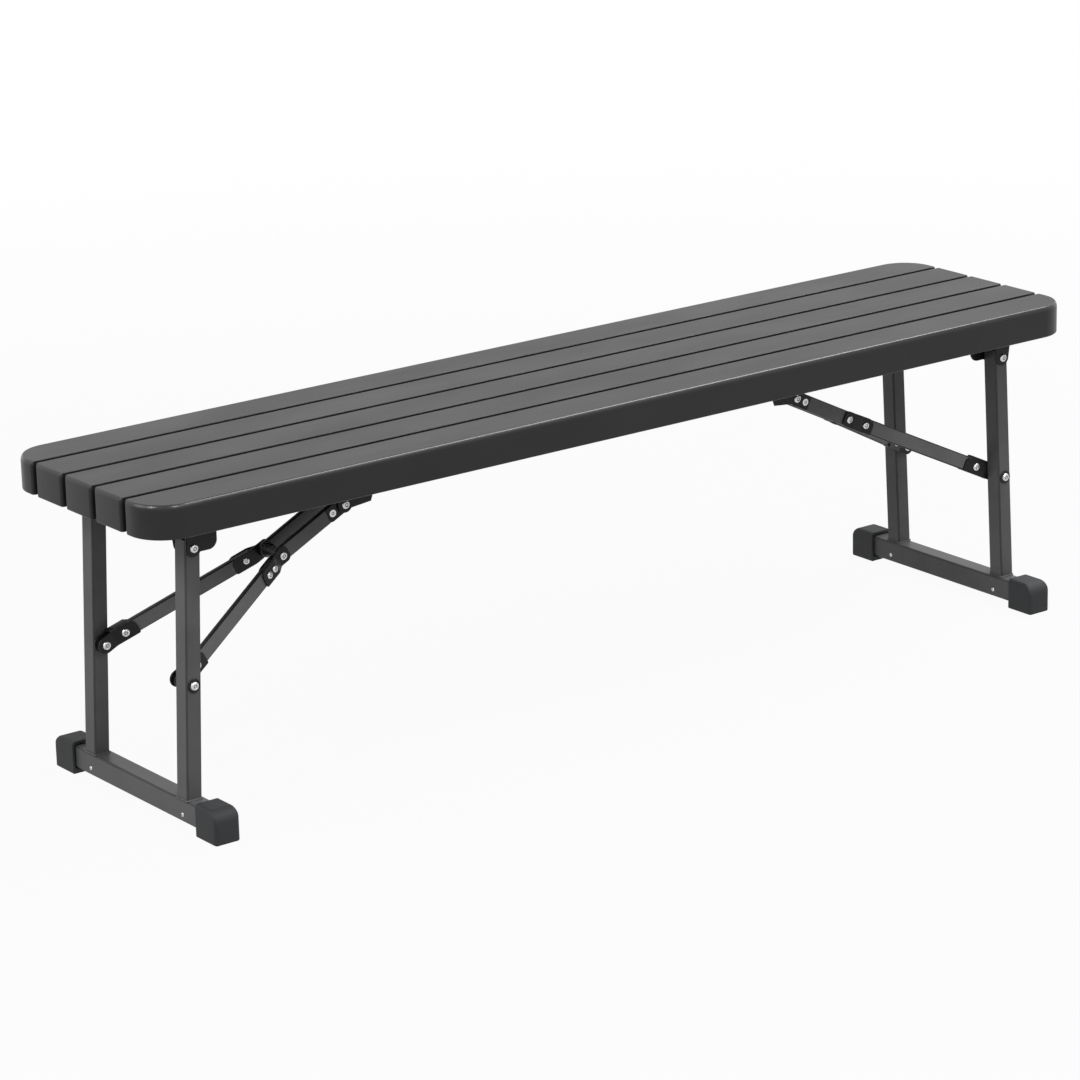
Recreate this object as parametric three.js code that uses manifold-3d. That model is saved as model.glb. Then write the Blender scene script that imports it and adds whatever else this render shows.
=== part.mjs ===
// A folding bench: a five-slat plastic seat on cross rails, with two steel leg frames that fold
// inwards under the seat. Each leg frame is held open by two knee braces that meet near the centre line.
// Millimetres, +Z up, +X along the seat, the floor at z = 0, the origin under the middle of the bench.
import * as THREE from "three";
import { mergeVertices } from "three/addons/utils/BufferGeometryUtils.js";
import Module from "manifold-3d";

const wasm = await Module();
wasm.setup();

// Seat
const seatLength = 1520;
const seatHeight = 440;
const slatCount = 5;
const slatWidth = 65;
const slatGap = 5;
const slatThickness = 44;
const slatWall = 3.5;
const slatEdgeRadius = 3;
const seatCornerRadius = 50;
const slatCornerShare = 1.6;
const ribThickness = 3;
const ribSpacing = 120;
const screwBossRadius = 7;

// Cross rails under the slats
const railWidth = 30;
const railHeight = 12;
const railLength = 252;
const railWall = 2;

// Leg frames
const legPivotX = 673.5;
const legPivotDrop = 32;
const legSplayDegrees = 2.7;
const uprightOuterY = 122;
const uprightWidth = 22;
const uprightDepth = 25;
const tubeWall = 1.5;
const footBarWidth = 27;
const footBarHeight = 30;
const footSpan = 384;

// Rubber boots on the ends of the foot bars
const bootLength = 46;
const bootSideWall = 5;
const bootTopWall = 6;
const bootSoleThickness = 8;
const bootEndWall = 4;
const bootShoulderRadius = 16;
const bootEdgeRadius = 2.5;

// Knee braces
const bracePivotDistance = 177;
const anchorPivotX = 380;
const anchorPivotDrop = 58;
const foldedDroopDegrees = 9.6;
const linkHeight = 21;
const linkThickness = 8;
const linkWall = 1.2;
const upperLinkInnerY = 12;
const lowerLinkInnerY = 21.2;
const lowerLinkStart = 15;
const lowerLinkEndShort = 18;

// Stamped plates
const plateThickness = 2.5;
const lobeRadius = 11;
const forkLength = 46;
const forkFlat = 13;
const kneePlateLength = 61;
const kneeLobeFlat = 8;
const fittingRoom = 1.6;

// Pivot brackets under the rails
const bracketOutboard = 32;
const bracketInboard = 42;
const largeEarInboard = 34;
const largeEarDepth = 6;
const largeEarCornerRadius = 12;
const smallEarHalfWidth = 14;
const anchorEarInboard = 58;
const anchorEarOutboard = 13;
const anchorEarDepth = 6;
const anchorEarToe = 40;

// Rivets and pins
const rivetRadius = 4;
const rivetHeadRadius = 6.5;
const rivetHeadHeight = 3.6;
const spacerRadius = 9;

// Fits
const clearance = 0.3;
const overrun = 5;
const weldDistance = 1e-4;

// Fineness of round shapes
const roundSegments = 16;
const bossSegments = 8;
const domeSteps = 2;
const cornerSegments = 6;
const smallCornerSegments = 2;
const bevelSegments = 2;

const materials = {
  plastic: new THREE.MeshStandardMaterial({ color: 0x3a3b3d, roughness: 0.45, metalness: 0 }),
  tube: new THREE.MeshStandardMaterial({ color: 0x474849, roughness: 0.4, metalness: 0.3 }),
  plate: new THREE.MeshStandardMaterial({ color: 0x1f2021, roughness: 0.45, metalness: 0.3 }),
  rivet: new THREE.MeshStandardMaterial({ color: 0xc4c6c8, roughness: 0.3, metalness: 0.9 }),
  rubber: new THREE.MeshStandardMaterial({ color: 0x25272a, roughness: 0.75, metalness: 0 }),
  rail: new THREE.MeshStandardMaterial({ color: 0x2c2d2e, roughness: 0.45, metalness: 0.3 }),
};

// Places that follow from the sizes
const seatWidth = slatCount * slatWidth + (slatCount - 1) * slatGap;
const slatPitch = slatWidth + slatGap;
const slatCornerRadius = slatEdgeRadius * slatCornerShare;
const seatUnderside = seatHeight - slatThickness;
const railTop = seatUnderside - clearance;
const railBottom = railTop - railHeight;
const bracketTop = railBottom - clearance;
const bracketBottom = bracketTop - plateThickness;
const legSplay = THREE.MathUtils.degToRad(legSplayDegrees);
const legPivotZ = seatUnderside - legPivotDrop;
const uprightInnerY = uprightOuterY - uprightDepth;
const uprightCentreY = (uprightOuterY + uprightInnerY) / 2;
const footBarBottom = bootSoleThickness;
const footBarTop = footBarBottom + footBarHeight;
const uprightFootX = uprightCentreX(footBarTop);
const footBarX = uprightFootX + (uprightWidth - footBarWidth) / 2;
const bracePivotX = legPivotX + bracePivotDistance * Math.sin(legSplay);
const bracePivotZ = legPivotZ - bracePivotDistance * Math.cos(legSplay);
const anchorPivotZ = seatUnderside - anchorPivotDrop;
const upperLinkOuterY = upperLinkInnerY + linkThickness;

// The braces are straight when the leg is open. When it is folded the two links lie on each other, so
// their lengths differ by the distance that is then left between the brace pivot and the anchor pivot.
const foldedDroop = THREE.MathUtils.degToRad(foldedDroopDegrees);
const foldedBraceX = legPivotX - bracePivotDistance * Math.cos(foldedDroop);
const foldedBraceZ = legPivotZ - bracePivotDistance * Math.sin(foldedDroop);
const openSpan = Math.hypot(bracePivotX - anchorPivotX, anchorPivotZ - bracePivotZ);
const foldedSpan = Math.hypot(foldedBraceX - anchorPivotX, foldedBraceZ - anchorPivotZ);
const lowerLinkLength = (openSpan + foldedSpan) / 2;
const upperLinkLength = (openSpan - foldedSpan) / 2;
const braceSlope = Math.atan2(anchorPivotZ - bracePivotZ, bracePivotX - anchorPivotX);

// Across the bench, the lower links start beside the uprights and close in on the upper links
const forkOuterY = uprightInnerY - clearance;
const lowerLinkOuterStartY = forkOuterY - plateThickness - clearance;
const kneePlateInnerY = upperLinkOuterY + clearance;
const anchorEarInnerY = upperLinkOuterY + fittingRoom;
const anchorEarOuterY = anchorEarInnerY + plateThickness;

function uprightCentreX(z) {
  return legPivotX + (legPivotZ - z) * Math.tan(legSplay);
}

// Solids

function solid(geometry) {
  const bare = geometry.index ? geometry.toNonIndexed() : geometry.clone();
  bare.deleteAttribute("normal");
  bare.deleteAttribute("uv");
  const merged = mergeVertices(bare, weldDistance);
  const corners = merged.index.array;
  const triVerts = [];
  for (let i = 0; i < corners.length; i += 3) {
    const [a, b, c] = [corners[i], corners[i + 1], corners[i + 2]];
    if (a !== b && b !== c && c !== a) triVerts.push(a, b, c);
  }
  return new wasm.Manifold(
    new wasm.Mesh({
      numProp: 3,
      vertProperties: merged.attributes.position.array,
      triVerts: new Uint32Array(triVerts),
    }),
  );
}

function join(first, ...rest) {
  return rest.reduce((sum, piece) => sum.add(piece), first);
}

function cut(first, ...rest) {
  return rest.reduce((left, piece) => left.subtract(piece), first);
}

function meshOf(name, body, material) {
  const data = body.getMesh();
  const geometry = new THREE.BufferGeometry();
  geometry.setAttribute("position", new THREE.BufferAttribute(data.vertProperties, 3));
  geometry.setIndex(new THREE.BufferAttribute(data.triVerts, 1));
  geometry.computeVertexNormals();
  const mesh = new THREE.Mesh(geometry, material);
  mesh.name = name;
  return mesh;
}

function box([x0, x1], [y0, y1], [z0, z1]) {
  const geometry = new THREE.BoxGeometry(x1 - x0, y1 - y0, z1 - z0);
  return solid(geometry.translate((x0 + x1) / 2, (y0 + y1) / 2, (z0 + z1) / 2));
}

// A round bar along Y through (x, z)
function barAlongY(radius, [y0, y1], x, z) {
  const geometry = new THREE.CylinderGeometry(radius, radius, y1 - y0, roundSegments);
  return solid(geometry.translate(x, (y0 + y1) / 2, z));
}

// A flat plate: an outline drawn in X and Z, given its thickness along Y
function plateAcrossY(shape, [y0, y1]) {
  const geometry = new THREE.ExtrudeGeometry(shape, {
    depth: y1 - y0,
    bevelEnabled: false,
    curveSegments: cornerSegments,
  });
  return solid(geometry.rotateX(Math.PI / 2).translate(0, y1, 0));
}

// A box whose section slides from one range of Y to another while it runs along X
function slantedBox([x0, x1], start, end, [z0, z1]) {
  const geometry = new THREE.BoxGeometry(1, 1, 1);
  const points = geometry.attributes.position;
  for (let i = 0; i < points.count; i++) {
    const far = points.getX(i) > 0;
    const range = far ? end : start;
    const y = points.getY(i) > 0 ? Math.max(...range) : Math.min(...range);
    points.setXYZ(i, far ? x1 : x0, y, points.getZ(i) > 0 ? z1 : z0);
  }
  return solid(geometry);
}

// A range of Y on one side of the bench: hand is +1 at the rear and -1 at the front
function across(hand, a, b) {
  return hand > 0 ? [a, b] : [-b, -a];
}

// Seat slats

function slatOutline(inset, frontRadius, rearRadius) {
  const x = seatLength / 2 - inset;
  const y = slatWidth / 2 - inset;
  const points = [];
  const corner = (signX, signY, fullRadius, quarter) => {
    const radius = Math.max(fullRadius - inset, slatEdgeRadius / 2);
    const steps = fullRadius > slatCornerRadius ? cornerSegments : smallCornerSegments;
    for (let i = 0; i <= steps; i++) {
      const angle = (quarter + i / steps) * (Math.PI / 2);
      const across = signX * (x - radius) + radius * Math.cos(angle);
      points.push(new THREE.Vector2(across, signY * (y - radius) + radius * Math.sin(angle)));
    }
  };
  corner(1, 1, rearRadius, 0);
  corner(-1, 1, rearRadius, 1);
  corner(-1, -1, frontRadius, 2);
  corner(1, -1, frontRadius, 3);
  return new THREE.Shape(points);
}

function railPlaces() {
  return [-legPivotX, -anchorPivotX, 0, anchorPivotX, legPivotX];
}

// The screw row of the outer slats stands over the ends of the rails
function screwY(slatY) {
  const reach = railLength / 2 - screwBossRadius;
  return Math.min(Math.max(slatY, -reach), reach);
}

// Ribs stand over the rails and divide the spans between them
function slatRibs() {
  const places = railPlaces();
  const walls = [-seatLength / 2, ...railPlaces(), seatLength / 2];
  for (let i = 1; i < walls.length; i++) {
    const span = walls[i] - walls[i - 1];
    const bays = Math.max(1, Math.round(span / ribSpacing));
    for (let k = 1; k < bays; k++) places.push(walls[i - 1] + (span * k) / bays);
  }
  return places;
}

function makeSlat(name, slatY, frontRadius, rearRadius) {
  const shell = new THREE.ExtrudeGeometry(slatOutline(0, frontRadius, rearRadius), {
    depth: slatThickness - 2 * slatEdgeRadius,
    bevelThickness: slatEdgeRadius,
    bevelSize: slatEdgeRadius,
    bevelOffset: -slatEdgeRadius,
    bevelSegments,
  });
  shell.translate(0, slatY, seatUnderside + slatEdgeRadius);
  const hollow = new THREE.ExtrudeGeometry(slatOutline(slatWall, frontRadius, rearRadius), {
    depth: slatThickness - slatWall + overrun,
    bevelEnabled: false,
  });
  hollow.translate(0, slatY, seatUnderside - overrun);
  const ribs = slatRibs().map((x) =>
    box(
      [x - ribThickness / 2, x + ribThickness / 2],
      [slatY - slatWidth / 2, slatY + slatWidth / 2],
      [seatUnderside, seatHeight],
    ),
  );
  const bosses = railPlaces().map((x) => {
    const boss = new THREE.CylinderGeometry(
      screwBossRadius,
      screwBossRadius,
      slatThickness - slatWall / 2,
      bossSegments,
    );
    boss.rotateX(Math.PI / 2);
    boss.translate(x, screwY(slatY), seatUnderside + (slatThickness - slatWall / 2) / 2);
    return solid(boss);
  });
  const body = cut(solid(shell), cut(solid(hollow), ...ribs, ...bosses));
  return meshOf(name, body, materials.plastic);
}

function makeSeat() {
  const seat = new THREE.Group();
  for (let i = 0; i < slatCount; i++) {
    const slatY = (i - (slatCount - 1) / 2) * slatPitch;
    const frontRadius = i === 0 ? seatCornerRadius : slatCornerRadius;
    const rearRadius = i === slatCount - 1 ? seatCornerRadius : slatCornerRadius;
    seat.add(makeSlat(`slat_${i + 1}`, slatY, frontRadius, rearRadius));
  }
  railPlaces().forEach((x, i) => seat.add(makeRail(`cross_rail_${i + 1}`, x)));
  return seat;
}

// A rail is a channel, open downwards, with its web against the slats
function makeRail(name, x) {
  const outer = box(
    [x - railWidth / 2, x + railWidth / 2],
    [-railLength / 2, railLength / 2],
    [railBottom, railTop],
  );
  const inner = box(
    [x - railWidth / 2 + railWall, x + railWidth / 2 - railWall],
    [-railLength / 2 - overrun, railLength / 2 + overrun],
    [railBottom - overrun, railTop - railWall],
  );
  return meshOf(name, cut(outer, inner), materials.rail);
}

// Brackets on the right side of the bench: inboard is towards -X

function largeEarShape() {
  const shape = new THREE.Shape();
  const toe = legPivotX - largeEarInboard;
  const low = legPivotZ - largeEarDepth;
  const corner = [toe + largeEarCornerRadius, low + largeEarCornerRadius];
  shape.moveTo(legPivotX + lobeRadius, bracketTop);
  shape.lineTo(toe, bracketTop);
  shape.lineTo(toe, corner[1]);
  shape.absarc(...corner, largeEarCornerRadius, Math.PI, 1.5 * Math.PI);
  const side = Math.sqrt(lobeRadius ** 2 - largeEarDepth ** 2);
  shape.lineTo(legPivotX - side, low);
  shape.absarc(legPivotX, legPivotZ, lobeRadius, Math.atan2(-largeEarDepth, -side), 0);
  return shape;
}

function smallEarShape() {
  const shape = new THREE.Shape();
  shape.moveTo(legPivotX + smallEarHalfWidth, bracketTop);
  shape.lineTo(legPivotX - smallEarHalfWidth, bracketTop);
  shape.lineTo(legPivotX - lobeRadius, legPivotZ);
  shape.absarc(legPivotX, legPivotZ, lobeRadius, Math.PI, 2 * Math.PI);
  return shape;
}

// One stamping in four places: the large ear is towards the rear on the right side of the bench
function makePivotBracket(name, hand) {
  const outerFace = across(hand, uprightOuterY + clearance, uprightOuterY + clearance + plateThickness);
  const innerFace = across(hand, uprightInnerY - clearance - plateThickness, uprightInnerY - clearance);
  const largeSide = hand > 0 ? outerFace : innerFace;
  const smallSide = hand > 0 ? innerFace : outerFace;
  const web = box(
    [legPivotX - bracketInboard, legPivotX + bracketOutboard],
    [Math.min(outerFace[0], innerFace[0]), Math.max(outerFace[1], innerFace[1])],
    [bracketBottom, bracketTop],
  );
  const ears = [plateAcrossY(largeEarShape(), largeSide), plateAcrossY(smallEarShape(), smallSide)];
  const bracket = join(web, ...ears);
  const hole = barAlongY(
    rivetRadius + clearance,
    across(hand, uprightInnerY - overrun, uprightOuterY + overrun),
    legPivotX,
    legPivotZ,
  );
  return meshOf(name, cut(bracket, hole), materials.plate);
}

function anchorEarShape() {
  const shape = new THREE.Shape();
  shape.moveTo(anchorPivotX + anchorEarOutboard, bracketTop);
  shape.lineTo(anchorPivotX - anchorEarInboard, bracketTop);
  shape.lineTo(anchorPivotX - anchorEarToe, anchorPivotZ - anchorEarDepth / 2);
  const side = Math.sqrt(lobeRadius ** 2 - anchorEarDepth ** 2);
  shape.lineTo(anchorPivotX - side, anchorPivotZ - anchorEarDepth);
  shape.absarc(anchorPivotX, anchorPivotZ, lobeRadius, Math.atan2(-anchorEarDepth, -side), 0);
  return shape;
}

function makeAnchorBracket(name) {
  const web = box(
    [anchorPivotX - anchorEarInboard, anchorPivotX + anchorEarOutboard],
    [-anchorEarOuterY, anchorEarOuterY],
    [bracketBottom, bracketTop],
  );
  const ears = [-1, 1].map((hand) =>
    plateAcrossY(anchorEarShape(), across(hand, anchorEarInnerY, anchorEarOuterY)),
  );
  const reach = anchorEarOuterY + overrun;
  const hole = barAlongY(rivetRadius + clearance, [-reach, reach], anchorPivotX, anchorPivotZ);
  return meshOf(name, cut(join(web, ...ears), hole), materials.plate);
}

// Rivets

// A rivet along Y: a shank with a domed head at both ends, or at its outer end only
function makeRivet(name, hand, innerY, outerY, x, z, innerHead = true) {
  const profile = [];
  const dome = (y, sign) => {
    const points = [];
    for (let i = 0; i <= domeSteps; i++) {
      const angle = (i / domeSteps) * (Math.PI / 2);
      const radius = rivetHeadRadius * Math.sin(angle);
      points.push(new THREE.Vector2(radius, y + sign * rivetHeadHeight * Math.cos(angle)));
    }
    return points;
  };
  if (innerHead) {
    profile.push(...dome(innerY, -1), new THREE.Vector2(rivetRadius, innerY));
  } else {
    profile.push(new THREE.Vector2(0, innerY), new THREE.Vector2(rivetRadius, innerY));
  }
  profile.push(new THREE.Vector2(rivetRadius, outerY), ...dome(outerY, 1).reverse());
  profile[0].x = 0;
  profile[profile.length - 1].x = 0;
  const geometry = new THREE.LatheGeometry(profile, roundSegments);
  if (hand < 0) geometry.rotateX(Math.PI);
  geometry.translate(x, 0, z);
  return meshOf(name, solid(geometry), materials.rivet);
}

function makeLegPivotRivet(name, hand) {
  const innerY = uprightInnerY - 2 * clearance - plateThickness;
  const outerY = uprightOuterY + 2 * clearance + plateThickness;
  return makeRivet(name, hand, innerY, outerY, legPivotX, legPivotZ);
}

function makeAnchorPin(name) {
  const reach = anchorEarOuterY + clearance;
  return makeRivet(name, 1, -reach, reach, anchorPivotX, anchorPivotZ);
}

// Leg frame

function makeUpright(name, hand) {
  const top = legPivotZ + lobeRadius;
  const bottom = footBarTop + clearance;
  const leaningTube = (halfWidth, low, high, rangeY) => {
    const shape = new THREE.Shape();
    shape.moveTo(uprightCentreX(low) - halfWidth, low);
    shape.lineTo(uprightCentreX(low) + halfWidth, low);
    shape.lineTo(uprightCentreX(high) + halfWidth, high);
    shape.lineTo(uprightCentreX(high) - halfWidth, high);
    return plateAcrossY(shape, rangeY);
  };
  const outside = leaningTube(uprightWidth / 2, bottom, top, across(hand, uprightInnerY, uprightOuterY));
  const inside = leaningTube(
    uprightWidth / 2 - tubeWall,
    bottom - overrun,
    top + overrun,
    across(hand, uprightInnerY + tubeWall, uprightOuterY - tubeWall),
  );
  const through = across(hand, uprightInnerY - overrun, uprightOuterY + overrun);
  const legHole = barAlongY(rivetRadius + clearance, through, legPivotX, legPivotZ);
  const braceHole = barAlongY(rivetRadius + clearance, through, bracePivotX, bracePivotZ);
  return meshOf(name, cut(outside, inside, legHole, braceHole), materials.tube);
}

function makeFootBar(name) {
  const end = footSpan / 2 - bootEndWall - clearance;
  const section = (inset) => [
    [footBarX - footBarWidth / 2 + inset, footBarX + footBarWidth / 2 - inset],
    [footBarBottom + inset, footBarTop - inset],
  ];
  const [outX, outZ] = section(0);
  const [inX, inZ] = section(tubeWall);
  const bar = cut(box(outX, [-end, end], outZ), box(inX, [-end - overrun, end + overrun], inZ));
  return meshOf(name, bar, materials.tube);
}

function makeBoot(name, hand) {
  const outer = footSpan / 2;
  const inner = outer - bootLength;
  const high = footBarTop + bootTopWall;
  const width = footBarWidth + 2 * bootSideWall;
  const shape = new THREE.Shape();
  shape.moveTo(inner, 0);
  shape.lineTo(outer, 0);
  shape.lineTo(outer, high - bootShoulderRadius);
  shape.absarc(outer - bootShoulderRadius, high - bootShoulderRadius, bootShoulderRadius, 0, Math.PI / 2);
  shape.lineTo(inner, high);
  const geometry = new THREE.ExtrudeGeometry(shape, {
    depth: width - 2 * bootEdgeRadius,
    bevelThickness: bootEdgeRadius,
    bevelSize: bootEdgeRadius,
    bevelOffset: -bootEdgeRadius,
    bevelSegments,
    curveSegments: cornerSegments,
  });
  // The outline is drawn in Y and Z: stand it up and turn it so that its first axis runs along Y
  geometry.translate(0, 0, -width / 2 + bootEdgeRadius);
  geometry.rotateX(Math.PI / 2);
  geometry.rotateZ((hand * Math.PI) / 2);
  geometry.translate(footBarX, 0, 0);
  const pocket = box(
    [footBarX - footBarWidth / 2 - clearance, footBarX + footBarWidth / 2 + clearance],
    across(hand, inner - overrun, outer - bootEndWall),
    [footBarBottom - clearance, footBarTop + clearance],
  );
  return meshOf(name, cut(solid(geometry), pocket), materials.rubber);
}

function makeBraceRivet(name, hand) {
  const innerY = lowerLinkOuterStartY - linkThickness - 2 * clearance - plateThickness;
  return makeRivet(name, hand, innerY, uprightOuterY + clearance, bracePivotX, bracePivotZ);
}

// Lower links, built along +X from the brace pivot with the knee at the far end, then turned into place

const slantStart = forkFlat;
const slantEnd = lowerLinkLength - lowerLinkEndShort;

// Distance from the centre line of the bench to the link's inner face at x along the link
function lowerLinkInner(x) {
  const share = (x - slantStart) / (slantEnd - slantStart);
  const start = lowerLinkOuterStartY - linkThickness;
  return start + (lowerLinkInnerY - start) * share;
}

// A strip beside the slanted link, between two distances from its inner face
function slantedStrip(hand, [x0, x1], [near, far], rangeZ) {
  const at = (x) => across(hand, lowerLinkInner(x) + near, lowerLinkInner(x) + far);
  return slantedBox([x0, x1], at(x0), at(x1), rangeZ);
}

function flatLobe(hand, centreX, neckX, [innerY, outerY]) {
  const rangeY = across(hand, innerY, outerY);
  const neck = box([Math.min(centreX, neckX), Math.max(centreX, neckX)], rangeY, [-lobeRadius, lobeRadius]);
  return join(neck, barAlongY(lobeRadius, rangeY, centreX, 0));
}

function makeLowerLink(name, hand) {
  const half = linkHeight / 2;
  const outside = slantedStrip(hand, [lowerLinkStart, slantEnd], [0, linkThickness], [-half, half]);
  const inside = slantedStrip(
    hand,
    [lowerLinkStart - overrun, slantEnd + overrun],
    [linkWall, linkThickness - linkWall],
    [linkWall - half, half - linkWall],
  );
  return meshOf(name, cut(outside, inside), materials.tube);
}

// A folded clevis: two round-ended cheeks at the pivot, and a web over the link's upper edge, which is
// the lower one until the brace is turned into place
function makeLowerFork(name, hand) {
  const cheek = [linkThickness + clearance, linkThickness + clearance + plateThickness];
  const innerCheek = [-clearance - plateThickness, -clearance];
  const webUnderside = -linkHeight / 2 - clearance;
  const low = webUnderside - plateThickness;
  const high = lobeRadius;
  const run = [slantStart, forkLength];
  const innerStart = lowerLinkInner(slantStart);
  const fork = join(
    slantedStrip(hand, run, cheek, [low, high]),
    slantedStrip(hand, run, innerCheek, [low, high]),
    slantedStrip(hand, run, [innerCheek[0], cheek[1]], [low, webUnderside]),
    flatLobe(hand, 0, slantStart, [innerStart + cheek[0], innerStart + cheek[1]]),
    flatLobe(hand, 0, slantStart, [innerStart + innerCheek[0], innerStart + innerCheek[1]]),
  );
  const hole = barAlongY(
    rivetRadius + clearance,
    across(hand, innerStart - overrun, innerStart + linkThickness + overrun),
    0,
    0,
  );
  return meshOf(name, cut(fork, hole), materials.plate);
}

// The knee plate lies on the outside of the lower link, then steps in to the upper link
function makeKneePlate(name, hand) {
  const start = lowerLinkLength - kneePlateLength + lobeRadius;
  const step = lowerLinkLength - kneeLobeFlat;
  const face = [linkThickness + clearance, linkThickness + clearance + plateThickness];
  const lobe = [kneePlateInnerY, kneePlateInnerY + plateThickness];
  const endOuter = lowerLinkInner(slantEnd);
  const rangeZ = [-lobeRadius, lobeRadius];
  const plate = join(
    slantedStrip(hand, [start, slantEnd], face, rangeZ),
    slantedBox(
      [slantEnd, step],
      across(hand, endOuter + face[0], endOuter + face[1]),
      across(hand, ...lobe),
      rangeZ,
    ),
    flatLobe(hand, lowerLinkLength, step, lobe),
  );
  const hole = barAlongY(
    rivetRadius + clearance,
    across(hand, lobe[0] - overrun, lobe[1] + overrun),
    lowerLinkLength,
    0,
  );
  return meshOf(name, cut(plate, hole), materials.plate);
}

function makeKneeRivet(name, hand) {
  const outerY = kneePlateInnerY + plateThickness + clearance;
  return makeRivet(name, hand, kneePlateInnerY, outerY, lowerLinkLength, 0, false);
}

function makeLowerBrace(side, place, hand) {
  const brace = new THREE.Group();
  brace.add(
    makeLowerLink(`${side}_${place}_lower_link`, hand),
    makeLowerFork(`${side}_${place}_lower_fork`, hand),
    makeKneePlate(`${side}_${place}_knee_plate`, hand),
    makeKneeRivet(`${side}_${place}_knee_rivet`, hand),
  );
  // Turn the link's +X to point inboard and upwards
  brace.rotation.y = -(Math.PI - braceSlope);
  brace.position.set(bracePivotX, 0, bracePivotZ);
  return brace;
}

// Upper links, built along +X from the anchor pivot with the knee at the far end

function roundEndedShape(length, radius) {
  const shape = new THREE.Shape();
  shape.moveTo(0, -radius);
  shape.lineTo(length, -radius);
  shape.absarc(length, 0, radius, -Math.PI / 2, Math.PI / 2);
  shape.lineTo(0, radius);
  shape.absarc(0, 0, radius, Math.PI / 2, 1.5 * Math.PI);
  return shape;
}

function makeUpperLink(name, hand) {
  const outside = plateAcrossY(
    roundEndedShape(upperLinkLength, linkHeight / 2),
    across(hand, upperLinkInnerY, upperLinkOuterY),
  );
  const inside = box(
    [0, upperLinkLength],
    across(hand, upperLinkInnerY + linkWall, upperLinkOuterY - linkWall),
    [linkWall - linkHeight / 2, linkHeight / 2 - linkWall],
  );
  const through = across(hand, upperLinkInnerY - overrun, upperLinkOuterY + overrun);
  const holes = [0, upperLinkLength].map((x) => barAlongY(rivetRadius + clearance, through, x, 0));
  return meshOf(name, cut(outside, inside, ...holes), materials.tube);
}

// The spacer keeps the two upper links apart at the knee, with a journal in each link
function makeKneeSpacer(name) {
  const half = upperLinkInnerY - clearance;
  const barrel = barAlongY(spacerRadius, [-half, half], upperLinkLength, 0);
  const journal = barAlongY(rivetRadius, [-upperLinkOuterY, upperLinkOuterY], upperLinkLength, 0);
  return meshOf(name, join(barrel, journal), materials.plate);
}

function makeUpperBrace(side) {
  const brace = new THREE.Group();
  brace.add(
    makeUpperLink(`${side}_${placeOf(side, -1)}_upper_link`, -1),
    makeUpperLink(`${side}_${placeOf(side, 1)}_upper_link`, 1),
    makeKneeSpacer(`${side}_knee_spacer`),
  );
  // Turn the link's +X to point outboard and downwards
  brace.rotation.y = braceSlope;
  brace.position.set(anchorPivotX, 0, anchorPivotZ);
  return brace;
}

// One side of the bench is built on +X. The left side is the same set turned half round, so what is
// at the rear of the right side comes to the front of the left side.
function placeOf(side, hand) {
  const rear = side === "right" ? hand > 0 : hand < 0;
  return rear ? "rear" : "front";
}

function makeSide(side) {
  const group = new THREE.Group();
  for (const hand of [-1, 1]) {
    const place = placeOf(side, hand);
    group.add(
      makePivotBracket(`${side}_${place}_pivot_bracket`, hand),
      makeLegPivotRivet(`${side}_${place}_leg_pivot_rivet`, hand),
      makeUpright(`${side}_${place}_upright`, hand),
      makeBoot(`${side}_${place}_boot`, hand),
      makeBraceRivet(`${side}_${place}_brace_rivet`, hand),
      makeLowerBrace(side, place, hand),
    );
  }
  group.add(
    makeFootBar(`${side}_foot_bar`),
    makeAnchorBracket(`${side}_anchor_bracket`),
    makeAnchorPin(`${side}_anchor_pin`),
    makeUpperBrace(side),
  );
  if (side === "left") group.rotation.z = Math.PI;
  return group;
}

const bench = new THREE.Group();
bench.add(makeSeat(), makeSide("left"), makeSide("right"));

export default bench;
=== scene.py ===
# %% [markdown]
# # A folding bench
# The bench has a seat of five hollow plastic slats and two steel leg frames that fold in under it.
# Its solids come packed as a fixed frame, and this lesson dresses them: every piece is built again
# with its roundings, bends, rivets and paint, and rides on the body that its solid belongs to.
# The frame is loaded first.

# %% Load the imported bench
import math
import bmesh
import bpy
from mathutils import Matrix, Vector


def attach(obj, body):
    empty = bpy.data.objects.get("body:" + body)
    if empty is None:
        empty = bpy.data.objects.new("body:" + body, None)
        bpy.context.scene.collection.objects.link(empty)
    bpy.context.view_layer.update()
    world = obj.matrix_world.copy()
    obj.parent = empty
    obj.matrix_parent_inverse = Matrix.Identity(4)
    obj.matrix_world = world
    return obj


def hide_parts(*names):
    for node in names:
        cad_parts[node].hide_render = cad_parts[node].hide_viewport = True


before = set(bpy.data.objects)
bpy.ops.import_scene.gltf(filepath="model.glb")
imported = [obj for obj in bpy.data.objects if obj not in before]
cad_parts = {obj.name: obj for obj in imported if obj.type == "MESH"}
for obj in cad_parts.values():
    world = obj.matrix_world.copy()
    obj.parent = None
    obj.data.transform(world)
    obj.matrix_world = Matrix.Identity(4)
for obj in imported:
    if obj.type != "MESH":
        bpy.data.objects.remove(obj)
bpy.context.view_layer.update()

# %% [markdown]
# ## The camera
# The photograph was taken from the left front, from about two metres up and with a long lens, so
# that the slats run almost parallel. The place, the three angles and the lens come from a fit to
# the corners of the seat and the legs. A camera that isn't turned looks straight down, so it is
# raised to the horizon and its pitch, turned to its yaw and rolled about its own axis.

# %% Camera
def add_object(name, data):
    made = bpy.data.objects.new(name, data)
    bpy.context.scene.collection.objects.link(made)
    return made


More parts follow.
